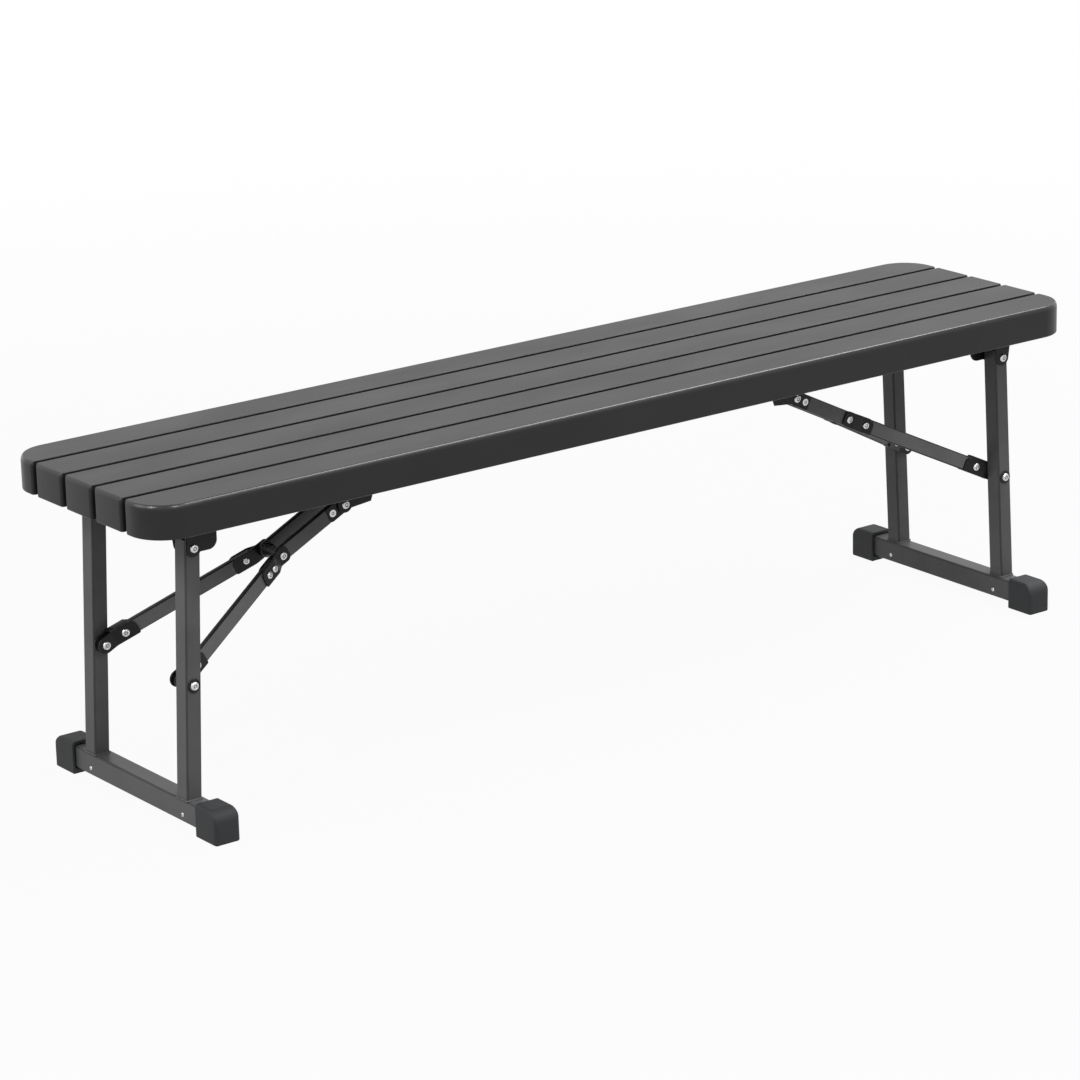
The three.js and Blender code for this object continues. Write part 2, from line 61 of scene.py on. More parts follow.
def make_camera(place, yaw, pitch, roll, lens):
    data = bpy.data.cameras.new("camera")
    data.lens = lens
    data.sensor_width = 36
    data.clip_end = 100
    pose = Matrix.Translation(place)
    for degrees, axis in ((yaw - 90, "Z"), (pitch + 90, "X"), (roll, "Z")):
        pose = pose @ Matrix.Rotation(math.radians(degrees), 4, axis)
    camera = add_object("camera", data)
    camera.matrix_world = pose
    bpy.context.scene.camera = camera
    return camera


camera = make_camera(
    place=(-3.27434, -4.32129, 1.89631), yaw=53.2914, pitch=-17.3057, roll=-1.4277, lens=140.436
)
print("camera at", [round(v, 2) for v in camera.location], "lens", camera.data.lens)

# %% [markdown]
# ## Shader maths
# A finish mixes a few patterns by sums and products. Node by node that is long to write, so a
# small class holds an output socket and adds a Math node whenever it stands in a sum. A second
# class adds any other node: its settings first, then the values or links of its sockets.

# %% Sockets that can stand in a sum
class Wire:
    """An output of a node, used in sums as if it were a number."""

    def __init__(self, recipe, socket):
        self.recipe, self.socket = recipe, socket

    def reckon(self, operation, left, right):
        return self.recipe.node("ShaderNodeMath", {"operation": operation}, {0: left, 1: right})

    def __add__(self, other):
        return self.reckon("ADD", self, other)

    def __radd__(self, other):
        return self.reckon("ADD", other, self)

    def __sub__(self, other):
        return self.reckon("SUBTRACT", self, other)

    def __rsub__(self, other):
        return self.reckon("SUBTRACT", other, self)

    def __mul__(self, other):
        return self.reckon("MULTIPLY", self, other)

    def __rmul__(self, other):
        return self.reckon("MULTIPLY", other, self)


# %% Any other node
def socket_of(sockets, key):
    if isinstance(key, int):
        return sockets[key]
    return next(s for s in sockets if key in (s.identifier, s.name))


class Recipe:
    """A node tree that is filled one node at a time."""

    def __init__(self, tree):
        self.tree = tree
        tree.nodes.clear()

    def node(self, kind, settings=None, inputs=None, output=0):
        made = self.tree.nodes.new(kind)
        for key, value in (settings or {}).items():
            setattr(made, key, value)
        for key, value in (inputs or {}).items():
            socket = socket_of(made.inputs, key)
            if isinstance(value, Wire):
                self.tree.links.new(value.socket, socket)
            else:
                socket.default_value = value
        return Wire(self, socket_of(made.outputs, output)) if made.outputs else made


def ramp(recipe, value, low, high, bottom=0.0):
    """From bottom at low to 1 at high; low may be the larger one."""
    inputs = {"Value": value, "From Min": low, "From Max": high, "To Min": bottom, "To Max": 1.0}
    return recipe.node("ShaderNodeMapRange", {"interpolation_type": "SMOOTHSTEP"}, inputs)


print("shader helpers ready")

# %% [markdown]
# ## Floor, backdrop and light
# The photograph is a cut-out on white. A white floor that is really lit would burn out, so the
# floor stays a plain pale one for the light that bounces off it, and only rays that come from the
# camera or from a reflection see most of it as white. What is left of its shading keeps a soft
# shadow under the bench, and it fades out a few metres away, so that no horizon shows. The world
# does the same: white to look at, pale grey as a light.

# %% World
WORLD_GREY = 0.15


def looking(recipe):
    """1 for a ray from the camera or a reflection, 0 for light on its way through the room."""
    rays = ("Is Camera Ray", "Is Glossy Ray", "Is Transmission Ray")
    seen, mirrored, through = (recipe.node("ShaderNodeLightPath", output=ray) for ray in rays)
    return recipe.node("ShaderNodeClamp", {}, {"Value": seen + mirrored + through})


def make_world():
    world = bpy.data.worlds.new("studio")
    world.use_nodes = True
    bpy.context.scene.world = world
    recipe = Recipe(world.node_tree)
    strength = WORLD_GREY + looking(recipe) * (1 - WORLD_GREY)
    light = recipe.node("ShaderNodeBackground", {}, {"Color": (1, 1, 1, 1), "Strength": strength})
    recipe.node("ShaderNodeOutputWorld", {}, {"Surface": light})


make_world()
print("world: white to look at, grey", WORLD_GREY, "as a light")

# %% Floor
FLOOR_REACH = 60
FLOOR_GREY = 0.32
NEAR_WHITE = 0.95
FADE_START, FADE_END = 1.0, 4.0
QUARTERS = ((1, 1), (-1, 1), (-1, -1), (1, -1))


def make_floor():
    mesh = bpy.data.meshes.new("floor")
    corners = [(FLOOR_REACH * x, FLOOR_REACH * y, 0) for x, y in QUARTERS]
    mesh.from_pydata(corners, [], [(0, 1, 2, 3)])
    paper = bpy.data.materials.new("backdrop_paper")
    paper.use_nodes = True
    mesh.materials.append(paper)
    recipe = Recipe(paper.node_tree)
    matte = recipe.node("ShaderNodeBsdfDiffuse", {}, {"Color": (FLOOR_GREY, FLOOR_GREY, FLOOR_GREY, 1)})
    white = recipe.node("ShaderNodeEmission", {}, {"Color": (1, 1, 1, 1), "Strength": 1})
    here = recipe.node("ShaderNodeTexCoord", {}, {}, "Object")
    away = recipe.node("ShaderNodeVectorMath", {"operation": "LENGTH"}, {0: here}, "Value")
    share = looking(recipe) * ramp(recipe, away, FADE_START, FADE_END, NEAR_WHITE)
    both = recipe.node("ShaderNodeMixShader", {}, {0: share, 1: matte, 2: white})
    recipe.node("ShaderNodeOutputMaterial", {}, {"Surface": both})
    floor = add_object("floor", mesh)


make_floor()
print("floor", 2 * FLOOR_REACH, "m wide")

# %% [markdown]
# Five soft lamps stand round the bench. The big one at the left makes the leg faces that look left
# the lightest. The rounded edge of the seat shows where the others stand: a bright spot on each
# side of the big corner's bend means two upright strips, one off the left end and one in front of
# it, and the line along the whole front edge means a long strip above. A weak one opens shadows.

# %% Lamps
SEAT_END = (-0.7, -0.1, 0.4)
LAMPS = (
    # name, place, where it points, width and height in metres, watts
    ("left_lamp", (-2.9, 0.8, 1.75), (-0.3, 0, 0.3), (1.5, 1.5), 24),
    ("left_spot", (-2.56, -0.62, 1.86), SEAT_END, (0.4, 0.9), 25),
    ("front_spot", (-0.71, -2.02, 1.86), SEAT_END, (0.4, 0.9), 18),
    ("strip_lamp", (2.0, -0.45, 3.0), (1.4, 0, 0.4), (3.8, 0.9), 118),
    ("front_lamp", (1.2, -3.6, 2.9), (0.5, 0, 0.2), (3.0, 1.2), 29),
)

for name, place, target, size, watts in LAMPS:
    data = bpy.data.lights.new(name, "AREA")
    data.shape = "RECTANGLE"
    data.size, data.size_y = size
    data.energy = watts
    lamp = add_object(name, data)
    lamp.location = place
    lamp.rotation_mode = "QUATERNION"
    lamp.rotation_quaternion = (Vector(target) - Vector(place)).to_track_quat("-Z", "Y")
print(len(LAMPS), "lamps")

# %% [markdown]
# ## Finishes
# Six finishes cover the bench, one of them in two shades. Each reads Object coordinates, which are
# metres in the frame of the bench, so a pattern has its real size on every piece. Each one has a
# slow cloud that shifts colour and gloss a little, as paint and moulded plastic do, and a fine bump
# for the grain of its surface. The sheen comes from the shader and the light, never from a painted
# highlight. A mesh can mark places of its own with an attribute, and there a finish paints shade
# into its colour: on narrow faces, bends and cut edges, in bores, gaps and recesses.

# %% Parts that all finishes share
def start_finish(name, slot=None):
    material = bpy.data.materials.new("bench_" + name)
    material["slot"] = slot or name
    material.use_nodes = True
    recipe = Recipe(material.node_tree)
    return material, recipe, recipe.node("ShaderNodeTexCoord", {}, {}, "Object")


def noise(recipe, where, size, detail=2.0, stretch=(1, 1, 1)):
    """Noise whose blots are about that many metres wide, as a Wire about 0."""
    scaled = recipe.node("ShaderNodeMapping", {}, {"Vector": where, "Scale": stretch})
    inputs = {"Vector": scaled, "Scale": 1 / size, "Detail": detail, "Roughness": 0.55}
    return recipe.node("ShaderNodeTexNoise", {}, inputs) - 0.5


def grey(level, blue):
    return (level, level, blue, 1)


def blend(recipe, share, start, end):
    inputs = {"Factor_Float": share, "A_Color": start, "B_Color": end}
    return recipe.node("ShaderNodeMix", {"data_type": "RGBA"}, inputs, "Result_Color")


def painted_shade_mask(recipe):
    """1 where a mesh has marked full painted shade, 0 where it has none."""
    return recipe.node("ShaderNodeAttribute", {"attribute_name": "painted_shade"}, {}, "Fac")


def bump(recipe, height, strength, distance):
    inputs = {"Strength": strength, "Distance": distance, "Height": height}
    return recipe.node("ShaderNodeBump", {}, inputs)


def end_finish(recipe, inputs):
    shader = recipe.node("ShaderNodeBsdfPrincipled", {}, inputs)
    recipe.node("ShaderNodeOutputMaterial", {}, {"Surface": shader})


print("finish helpers ready")

# %% [markdown]
# The seat is moulded charcoal plastic with a satin skin. Seen along its length it turns light grey,
# because a smooth surface reflects most at a low angle, and its faces turned to the viewer stay
# dark. So its own colour is dark and its roughness in the middle. A fine pebble grain breaks up the
# reflection, and long faint streaks follow the length of each slat. Hands and clothes polish the
# rounded upper edges, so a mask from the height makes them smoother and gives them a clear coat,
# which draws the thin bright line round the seat. The walls along the gaps are dull, with a near
# black painted shade.

# %% Seat plastic
POLISH_START, POLISH_FULL = 0.4325, 0.4395
POLISH_FADE, POLISH_END = 0.4398, 0.43999


def make_seat_plastic():
    material, recipe, here = start_finish("seat_plastic")
    cloud = noise(recipe, here, 0.09, 3, (0.45, 1, 1))
    streak = noise(recipe, here, 0.006, 2, (0.03, 1, 1))
    grain = noise(recipe, here, 0.0012, 2)
    share = 0.5 + cloud * 1.3 + streak * 0.3 + grain * 0.5
    tone = blend(recipe, share, (0.0105, 0.0106, 0.011, 1), (0.019, 0.0193, 0.02, 1))
    # Painted shade: the walls of the gaps turn near black where the mesh marks them
    gap = painted_shade_mask(recipe)
    level = recipe.node("ShaderNodeSeparateXYZ", {}, {"Vector": here}, "Z")
    polished = ramp(recipe, level, POLISH_START, POLISH_FULL)
    polished = polished * ramp(recipe, level, POLISH_END, POLISH_FADE)
    rough = 0.36 + cloud * 0.2 + grain * 0.14 + streak * 0.05
    end_finish(recipe, {
        "Base Color": blend(recipe, gap, tone, grey(0.002, 0.002)),
        "Roughness": rough - polished * 0.1 + gap * 0.5, "Specular IOR Level": 0.25,
        "Coat Weight": polished * 0.5, "Coat Roughness": 0.26,
        "Normal": bump(recipe, grain + streak * 0.2, 0.22, 0.00025),
    })
    return material


seat_plastic = make_seat_plastic()
print(seat_plastic.name, len(seat_plastic.node_tree.nodes), "nodes")

# %% [markdown]
# The tubes are powder coated in a dark gunmetal, the links of the braces in a lighter one, which is
# partly their paint and partly painted light that the lamps don't bring under the seat. Powder
# melts into a skin with a slight orange peel, which the bump gives, and the fine metal flakes in it
# make it a little metallic. The plates, forks and brackets have a blacker coat. All come from one
# function with their own numbers. Each coat turns to a darker colour, which is painted shade, on the
# bent edges of the tubes, in their bores, on the narrow faces of the links and on cut edges.

# %% Powder coats
def make_coat(name, dark, light, edge, rough, metal, peel, speckle, slot=None):
    material, recipe, here = start_finish(name, slot)
    cloud = noise(recipe, here, 0.07, 3)
    dimples = noise(recipe, here, 0.0016, 1)
    flakes = noise(recipe, here, 0.0005, 0)
    tone = blend(recipe, 0.5 + cloud * 1.4 + flakes * speckle, dark, light)
    end_finish(recipe, {
        # The edge colour is painted shade on the places that the mesh marks
        "Base Color": blend(recipe, painted_shade_mask(recipe), tone, edge),
        "Roughness": rough + cloud * 0.16 + flakes * 0.12, "Metallic": metal,
        "Specular IOR Level": 0.22, "Normal": bump(recipe, dimples + flakes * 0.3, peel, 0.0002),
    })
    return material


# edge is the colour of the painted shade on bends, bores, narrow faces and cut edges
TUBE_COAT = {"edge": grey(0.009, 0.009), "rough": 0.4, "metal": 0.05, "peel": 0.2, "speckle": 0.9}
PLATE_COAT = {"metal": 0.1, "peel": 0.25, "speckle": 0.5}

tube_paint = make_coat("tube_steel", grey(0.068, 0.069), grey(0.115, 0.117), **TUBE_COAT)
# A lighter copy of the tube coat: partly a lighter paint, partly painted light for the shaded links
lit_link_paint = make_coat(
    "lit_link_steel", grey(0.112, 0.113), grey(0.176, 0.178), **TUBE_COAT, slot="tube_steel"
)
# The third colour of each coat is its painted shade
plate_paint = make_coat(
    "plate_steel", grey(0.008, 0.0084), grey(0.016, 0.0166), grey(0.005, 0.005), 0.38, **PLATE_COAT
)
rail_paint = make_coat(
    "rail_steel", grey(0.022, 0.0225), grey(0.034, 0.035), grey(0.015, 0.015), 0.44, **PLATE_COAT
)
print("coats:", [coat.name for coat in (tube_paint, lit_link_paint, plate_paint, rail_paint)])

# %% [markdown]
# The rivets are bare zinc-plated steel, the only bright spots on the bench. Fine scratches from the
# setting tool make the reflection soft. The boots are matte rubber with a cold dark tone and a
# grain that takes nearly all gloss away.

# %% Rivet zinc and boot rubber
def make_zinc():
    material, recipe, here = start_finish("rivet_steel")
    scratch = noise(recipe, here, 0.0009, 3, (1, 0.25, 1))
    blot = noise(recipe, here, 0.004, 2)
    share = 0.5 + blot * 1.5 + scratch * 0.8
    tone = blend(recipe, share, grey(0.5, 0.51), grey(0.7, 0.71))
    end_finish(recipe, {
        # Painted shade: the marked dip of each head is darker
        "Base Color": blend(recipe, painted_shade_mask(recipe), tone, grey(0.16, 0.17)),
        "Roughness": 0.33 + scratch * 0.3, "Metallic": 1.0,
        "Normal": bump(recipe, scratch, 0.2, 0.0001),
    })
    return material


def make_rubber():
    material, recipe, here = start_finish("boot_rubber")
    cloud = noise(recipe, here, 0.03, 2)
    grain = noise(recipe, here, 0.0011, 3)
    share = 0.5 + cloud * 1.2 + grain * 1.2
    end_finish(recipe, {
        "Base Color": blend(recipe, share, (0.0125, 0.0133, 0.0145, 1), (0.022, 0.0232, 0.025, 1)),
        "Roughness": 0.66 + grain * 0.3, "Specular IOR Level": 0.4,
        "Normal": bump(recipe, grain, 0.5, 0.0003),
    })
    return material


rivet_zinc = make_zinc()
boot_rubber = make_rubber()
print("finishes:", rivet_zinc.name, boot_rubber.name)

# %% [markdown]
# ## Corners of the bench
# The numbers below are millimetres, as on a drawing, and the mesh maker turns them into metres.
# One leg frame is drawn, at the right end and towards the rear. The front pieces are its mirror
# image, and the left end is the same set turned half round, so a place on the bench is a function
# that moves a drawn point to its corner.

# %% Corners
MM = 0.001


def corner(turn, hand):
    """Moves a drawn point: turn -1 turns it half round, hand -1 mirrors it to the other edge."""
    return lambda x, y, z: (turn * x, turn * hand * y, z)


SIDES = {"right": (corner(1, 1), corner(1, -1)), "left": (corner(-1, 1), corner(-1, -1))}
PLACES = {"right": ("rear", "front"), "left": ("front", "rear")}
LEGS = [
    (side, f"{side}_{place}", put)
    for side, puts in SIDES.items() for place, put in zip(PLACES[side], puts)
]
print("corners:", [leg for side, leg, put in LEGS])

# %% [markdown]
# ## Making a mesh
# Everything that is bent, drawn or moulded here is a skin over rings of points. `loft` joins the
# rings with faces and closes the ends, or joins the last ring to the first, which gives a tube its
# bore. `skin` makes a mesh of one or more such shells, drops double points, turns all faces
# outwards and smooths the round parts. `piece` hands it to its body, and `dress` does that for a
# piece that stands for one solid.

# %% Loft
def loft(rings, looped=False):
    """The points and the faces of a shell over rings that all have as many points."""
    count = len(rings[0])
    faces = []
    for step in range(len(rings) if looped else len(rings) - 1):
        a, b = step * count, (step + 1) % len(rings) * count
        for i in range(count):
            j = (i + 1) % count
            faces.append((a + i, a + j, b + j, b + i))
    if not looped:
        last = (len(rings) - 1) * count
        faces.append(tuple(reversed(range(count))))
        faces.append(tuple(range(last, last + count)))
    return [point for ring in rings for point in ring], faces


# %% Skin
def skin(name, shells, scale=MM, merged=2e-6, smooth=38):
    """Each shell has points, faces and, where it has painted shade, its amount for every point."""
    work = bmesh.new()
    painted_shade = work.verts.layers.float.new("painted_shade")
    for points, faces, *shades in shells:
        verts = [work.verts.new([value * scale for value in point]) for point in points]
        for vert, shade in zip(verts, shades[0] if shades else ()):
            vert[painted_shade] = shade
        made = [work.faces.new([verts[i] for i in face]) for face in faces]
        bmesh.ops.remove_doubles(work, verts=verts, dist=merged)
        alive = [face for face in made if face.is_valid]
        bmesh.ops.recalc_face_normals(work, faces=alive)
    mesh = bpy.data.meshes.new(name)
    work.to_mesh(mesh)
    work.free()
    mesh.shade_smooth()
    mesh.set_sharp_from_angle(angle=math.radians(smooth))
    return mesh


# %% Piece
def hand_over(made, body, nodes):
    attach(made, body)
    if nodes:
        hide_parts(*nodes)
    return made


def piece(name, shells, finish, body, nodes=()):
    mesh = skin(name, shells)
    mesh.materials.append(finish)
    return hand_over(add_object(name, mesh), body, nodes)


def dress(way, node, shells, finish, body):
    """A piece that stands for one solid, named for the way in which the real one is made."""
    return piece(f"{way}_{node}", shells, finish, body, [node])


print("mesh helpers ready")

# %% [markdown]
# ## Seat slats
# A slat is a hollow shell, open underneath. It could be a box with bevels, but the outer two have a
# corner of 50 mm, and the edges along the gaps are tighter than those round the seat, which are
# higher than they are wide. So each slat is a stack of outlines instead: down the inside, over the
# rim, up the outside and round the upper edge. At each height every side is drawn in by its own
# rounding, and the sides along a gap stand back a little, so that the gaps read as dark lines. A
# narrow ring just inside the rounding keeps the flat top flat when the shading is smoothed.

# %% Slat outline
SEAT_HALF, SEAT_TOP, SEAT_UNDER = 760, 440, 396
SLAT_PITCH, SLAT_HALF, SLAT_WALL = 70, 32.5, 3.5
SLAT_YS = [SLAT_PITCH * step for step in range(-2, 3)]
OUTER_EDGE, OUTER_DROP = 3.8, 7.4
GAP_EDGE, GAP_EASE, GAP_SHADE = 0.7, 1.5, 0.3
LOWER_EDGE = 1.8
# Radius of the corner, rounding of the long edge beside it, and steps in the corner
SEAT_CORNER = (50, OUTER_EDGE, 28)
GAP_CORNER = (4.8, GAP_EDGE, 7)


def drawn_in(gap, radius):
    """How far a rounding of that radius has drawn the side in, at a gap from the end."""
    reach = min(radius, max(0.0, radius - gap))
    return radius - math.sqrt(max(0.0, radius * radius - reach * reach))


def slat_outline(level, slat_y, front, rear):
    """The points of one outline and their painted shade: 1 on the walls of a gap, 0 elsewhere."""
    inset, z, outside = level

    def drawn(edge):
        if not outside:
            return inset
        steep = edge / OUTER_DROP if edge == OUTER_EDGE else 1
        upper = drawn_in((SEAT_TOP - z) * steep, edge)
        return inset + drawn_in(z - SEAT_UNDER, LOWER_EDGE) + upper

    ring, shades = [], []
    # Painted shade on the gap walls, full from GAP_SHADE below the top downwards
    depth = min(1.0, (SEAT_TOP - z) / GAP_SHADE) if outside else 0.0
    for quarter, (corner_radius, edge, steps) in enumerate((rear, rear, front, front)):
        side_x, side_y = QUARTERS[quarter]
        in_gap = edge == GAP_EDGE
        x = SEAT_HALF - drawn(OUTER_EDGE)
        y = SLAT_HALF - (GAP_EASE if in_gap else 0) - drawn(edge)
        radius = max(corner_radius - drawn(OUTER_EDGE), 0.5)
        for i in range(steps + 1):
            angle = math.radians(90 * (quarter + i / steps))
            ring.append((
                side_x * (x - radius) + radius * math.cos(angle),
                slat_y + side_y * (y - radius) + radius * math.sin(angle),
                z,
            ))
            shades.append(depth * abs(math.sin(angle)) ** 3 if in_gap else 0.0)
    return ring, shades


print("edge roundings", OUTER_EDGE, GAP_EDGE, LOWER_EDGE, "mm")

# %% Slats
RISES = (0, 0.06, 0.24, 0.55, 1.0, 1.4, LOWER_EDGE, LOWER_EDGE + 0.4)
DROPS = (7.8, OUTER_DROP, 6.6, 5.8, 5, 4.3, 3.6, 3, 2.4, 1.9, 1.5, 1.15, 0.85, 0.6, 0.42, 0.28,
         0.17, 0.09, 0.04, 0.01, 0)
# Each level has its inset, its height and whether it is on the outside
LEVELS = [
    (SLAT_WALL + 1, SEAT_TOP - SLAT_WALL, False), (SLAT_WALL, SEAT_TOP - SLAT_WALL - 1, False),
    (SLAT_WALL, SEAT_UNDER + 0.5, False), (SLAT_WALL - 0.5, SEAT_UNDER, False),
    *[(0, SEAT_UNDER + rise, True) for rise in RISES],
    *[(0, SEAT_TOP - drop, True) for drop in DROPS], (0.5, SEAT_TOP, True),
]

for number, slat_y in enumerate(SLAT_YS, 1):
    front = SEAT_CORNER if number == 1 else GAP_CORNER
    rear = SEAT_CORNER if number == len(SLAT_YS) else GAP_CORNER
    outlines = [slat_outline(level, slat_y, front, rear) for level in LEVELS]
    shades = [shade for ring, marks in outlines for shade in marks]
    shell = (*loft([ring for ring, marks in outlines]), shades)
    made = dress("moulded", f"slat_{number}", [shell], seat_plastic, "seat")
    print(made.name, len(made.data.polygons), "faces")

# %% [markdown]
# ## What repeats
# Ribs, screw bosses, screws, bolts and rivet heads repeat dozens of times. Copying each by hand in
# Python works, but a change then means making them all again, so one Geometry Nodes tree does it:
# it takes bare points with a direction, puts a model of unit size on each, stretches it to the sizes
# given as inputs, turns the copies into real faces and sets their material. The result becomes one
# plain mesh for each body, because an exported file can't hold the instances.

# %% The tree that sets one model on many points
def make_repeater():
    tree = bpy.data.node_groups.new("set_on_points", "GeometryNodeTree")
    kinds = {
        "Points": "Geometry", "Model": "Object", "Width": "Float", "Depth": "Float",
        "Height": "Float", "Finish": "Material",
    }
    for name, kind in kinds.items():
        tree.interface.new_socket(name, in_out="INPUT", socket_type="NodeSocket" + kind)
    tree.interface.new_socket("Mesh", in_out="OUTPUT", socket_type="NodeSocketGeometry")
    recipe = Recipe(tree)
    sockets = recipe.node("NodeGroupInput").socket.node.outputs
    given = {socket.name: Wire(recipe, socket) for socket in sockets if socket.name}
    model = recipe.node("GeometryNodeObjectInfo", {}, {"Object": given["Model"]}, "Geometry")
    facing = recipe.node(
        "GeometryNodeInputNamedAttribute", {"data_type": "FLOAT_VECTOR"}, {"Name": "facing"}
    )
    turn = recipe.node("FunctionNodeAlignRotationToVector", {"axis": "Z"}, {"Vector": facing})
    sizes = {"X": given["Width"], "Y": given["Depth"], "Z": given["Height"]}
    scale = recipe.node("ShaderNodeCombineXYZ", {}, sizes)
    inputs = {"Points": given["Points"], "Instance": model, "Rotation": turn, "Scale": scale}
    copies = recipe.node("GeometryNodeInstanceOnPoints", {}, inputs)
    real = recipe.node("GeometryNodeRealizeInstances", {}, {"Geometry": copies})
    inputs = {"Geometry": real, "Material": given["Finish"]}
    painted = recipe.node("GeometryNodeSetMaterial", {}, inputs)
    recipe.node("NodeGroupOutput", {}, {"Mesh": painted})
    return tree


repeater = make_repeater()
repeater_inputs = [item for item in repeater.interface.items_tree if item.in_out == "INPUT"]
print("repeater inputs:", [item.name for item in repeater_inputs])

# %% Run the tree and keep a plain mesh
UP, DOWN = (0, 0, 1), (0, 0, -1)


def repeat(name, model, places, sizes, finish, body, nodes=()):
    """places are pairs of a point in millimetres and the direction that the model faces."""
    base = bpy.data.meshes.new(name + "_points")
    base.from_pydata([[value * MM for value in point] for point, way in places], [], [])
    facing = base.attributes.new("facing", "FLOAT_VECTOR", "POINT")
    facing.data.foreach_set("vector", [value for point, way in places for value in way])
    made = add_object(name, base)
    modifier = made.modifiers.new("repeat", "NODES")
    modifier.node_group = repeater
    width, depth, height = (size * MM for size in sizes)
    values = {"Model": model, "Width": width, "Depth": depth, "Height": height, "Finish": finish}
    for item in repeater_inputs:
        if item.name in values:
            modifier[item.identifier] = values[item.name]
    made.update_tag()
    evaluated = made.evaluated_get(bpy.context.evaluated_depsgraph_get())
    mesh = bpy.data.meshes.new_from_object(evaluated)
    made.modifiers.remove(modifier)
    made.data = mesh
    bpy.data.meshes.remove(base)
    mesh.name = name
    print(name, len(places), "copies,", len(mesh.polygons), "faces")
    return hand_over(made, body, nodes)


# %% [markdown]
# The models of unit size are turned profiles: a rivet head is a low dome with the small ring that
# the setting tool leaves, a screw head is flatter with a cross recess, and a boss is a hollow post.
# A rib is a plate that thickens towards its root, as a moulded rib does so that it leaves the mould.
# No collection of the scene holds these models, so they are never seen themselves.

# %% Turned models
def model_object(name, shell, smooth=40):
    return bpy.data.objects.new(name, skin(name, [shell], 1, 1e-5, smooth))


def circle(radius, height, count):
    turns = [math.tau * i / count for i in range(count)]
    return [(radius * math.cos(a), radius * math.sin(a), height) for a in turns]


def turned(profile, count):
    """A profile of radius and height pairs, turned about Z, closed at both ends."""
    return loft([circle(radius, height, count) for radius, height in profile])


DOME = (
    (0.999, -0.06), (1, 0.1), (0.985, 0.28), (0.93, 0.5), (0.84, 0.68), (0.7, 0.83), (0.58, 0.92),
    (0.5, 0.94), (0.44, 0.86), (0.36, 0.78), (0.28, 0.8), (0.16, 0.9), (0.04, 0.93),
)
POST = ((1.12, 1), (1, 0.9), (0.95, 0.0), (0.9, -0.004), (0.5, -0.004), (0.46, 0.02), (0.44, 0.4))
TOOL_RING = (0.2, 0.46)

points, faces = turned(DOME, 40)
# Painted shade in the dip of the dome, which the zinc turns dark
recess_shade = [float(TOOL_RING[0] < math.hypot(x, y) < TOOL_RING[1]) for x, y, z in points]
rivet_model = model_object("rivet_model", (points, faces, recess_shade))
post_model = model_object("post_model", turned(POST, 28))
print("turned models:", len(rivet_model.data.polygons), "and", len(post_model.data.polygons), "faces")

# %% Screw, bolt and rib models
PAN = ((0.999, -0.06), (1, 0.15), (0.96, 0.5), (0.85, 0.82), (0.66, 0.97), (0.5, 1))
FLANGE = ((0.999, -0.05), (1, 0.06), (0.97, 0.16), (0.72, 0.24), (0.68, 0.3))
NUT = ((0.66, 0.2), (0.66, 0.85), (0.6204, 0.97), (0.594, 1))
RIB = ((0.55, 0), (0.7, 0.012), (0.86, 0.9), (1.15, 0.97), (1.6, 1))
RECESS_ARM, RECESS_WAIST, RECESS_FLOOR = 0.44, 0.14, 0.35


def cross(height, share):
    """The edge of a cross recess, drawn in to a share of its size."""
    ring = []
    for x, y, z in circle(1, height, 32):
        arm = abs(math.cos(2 * math.atan2(y, x))) ** 1.6
        radius = (RECESS_WAIST + (RECESS_ARM - RECESS_WAIST) * arm) * share
        ring.append((radius * x, radius * y, z))
    return ring


def hexagon(radius, height):
    """A ring on a hexagon; the radius is measured to the middle of a flat."""
    reach = [1 / math.cos(math.radians(10 * i % 60 - 30)) for i in range(36)]
    return [(x * r, y * r, z) for r, (x, y, z) in zip(reach, circle(radius, height, 36))]


pan_head = [circle(radius, height, 32) for radius, height in PAN]
screw_model = model_object("screw_model", loft(pan_head + [cross(1, 1), cross(RECESS_FLOOR, 0.8)]))
flange = [circle(radius, height, 36) for radius, height in FLANGE]
bolt_model = model_object("bolt_model", loft(flange + [hexagon(*step) for step in NUT]))
plate_ends = ((-0.5, -0.5), (0.5, -0.5), (0.5, 0.5), (-0.5, 0.5))
rib_model = model_object("rib_model", loft([[(x * t, y, z) for x, y in plate_ends] for t, z in RIB]))
print("other models:", [len(m.data.polygons) for m in (screw_model, bolt_model, rib_model)], "faces")

# %% [markdown]
# The hollow slats are stiffened by cross ribs every 13 to 15 cm, one of them over each rail, where
# a post for the screw goes through it. The ribs end just above the rim, the posts level with it.

# %% Ribs and screw posts
LEG_X, ANCHOR_X = 673.5, 380
RAIL_XS = (-LEG_X, -ANCHOR_X, 0, ANCHOR_X, LEG_X)
SCREW_YS = (-119, -70, 0, 70, 119)
RIB_BAY, RIB_THICK, POST_RADIUS = 120, 3, 7
HOLLOW = SEAT_TOP - SLAT_WALL - SEAT_UNDER


def spread(start, end, step):
    count = max(1, round(abs(end - start) / step))
    return [start + (end - start) * i / count for i in range(count + 1)]


walls = [-SEAT_HALF, *RAIL_XS, SEAT_HALF]
rib_xs = [x for a, b in zip(walls, walls[1:]) for x in spread(a, b, RIB_BAY)[1:]][:-1]
ribs = [((x, y, SEAT_UNDER + 1), UP) for x in rib_xs for y in SLAT_YS]
posts = [((x, y, SEAT_UNDER), UP) for x in RAIL_XS for y in SCREW_YS]
rib_size = (RIB_THICK, 2 * (SLAT_HALF - SLAT_WALL) + 1, HOLLOW - 0.8)
repeat("slat_ribs", rib_model, ribs, rib_size, seat_plastic, "seat")
repeat("screw_posts", post_model, posts, (POST_RADIUS, POST_RADIUS, HOLLOW), seat_plastic, "seat")

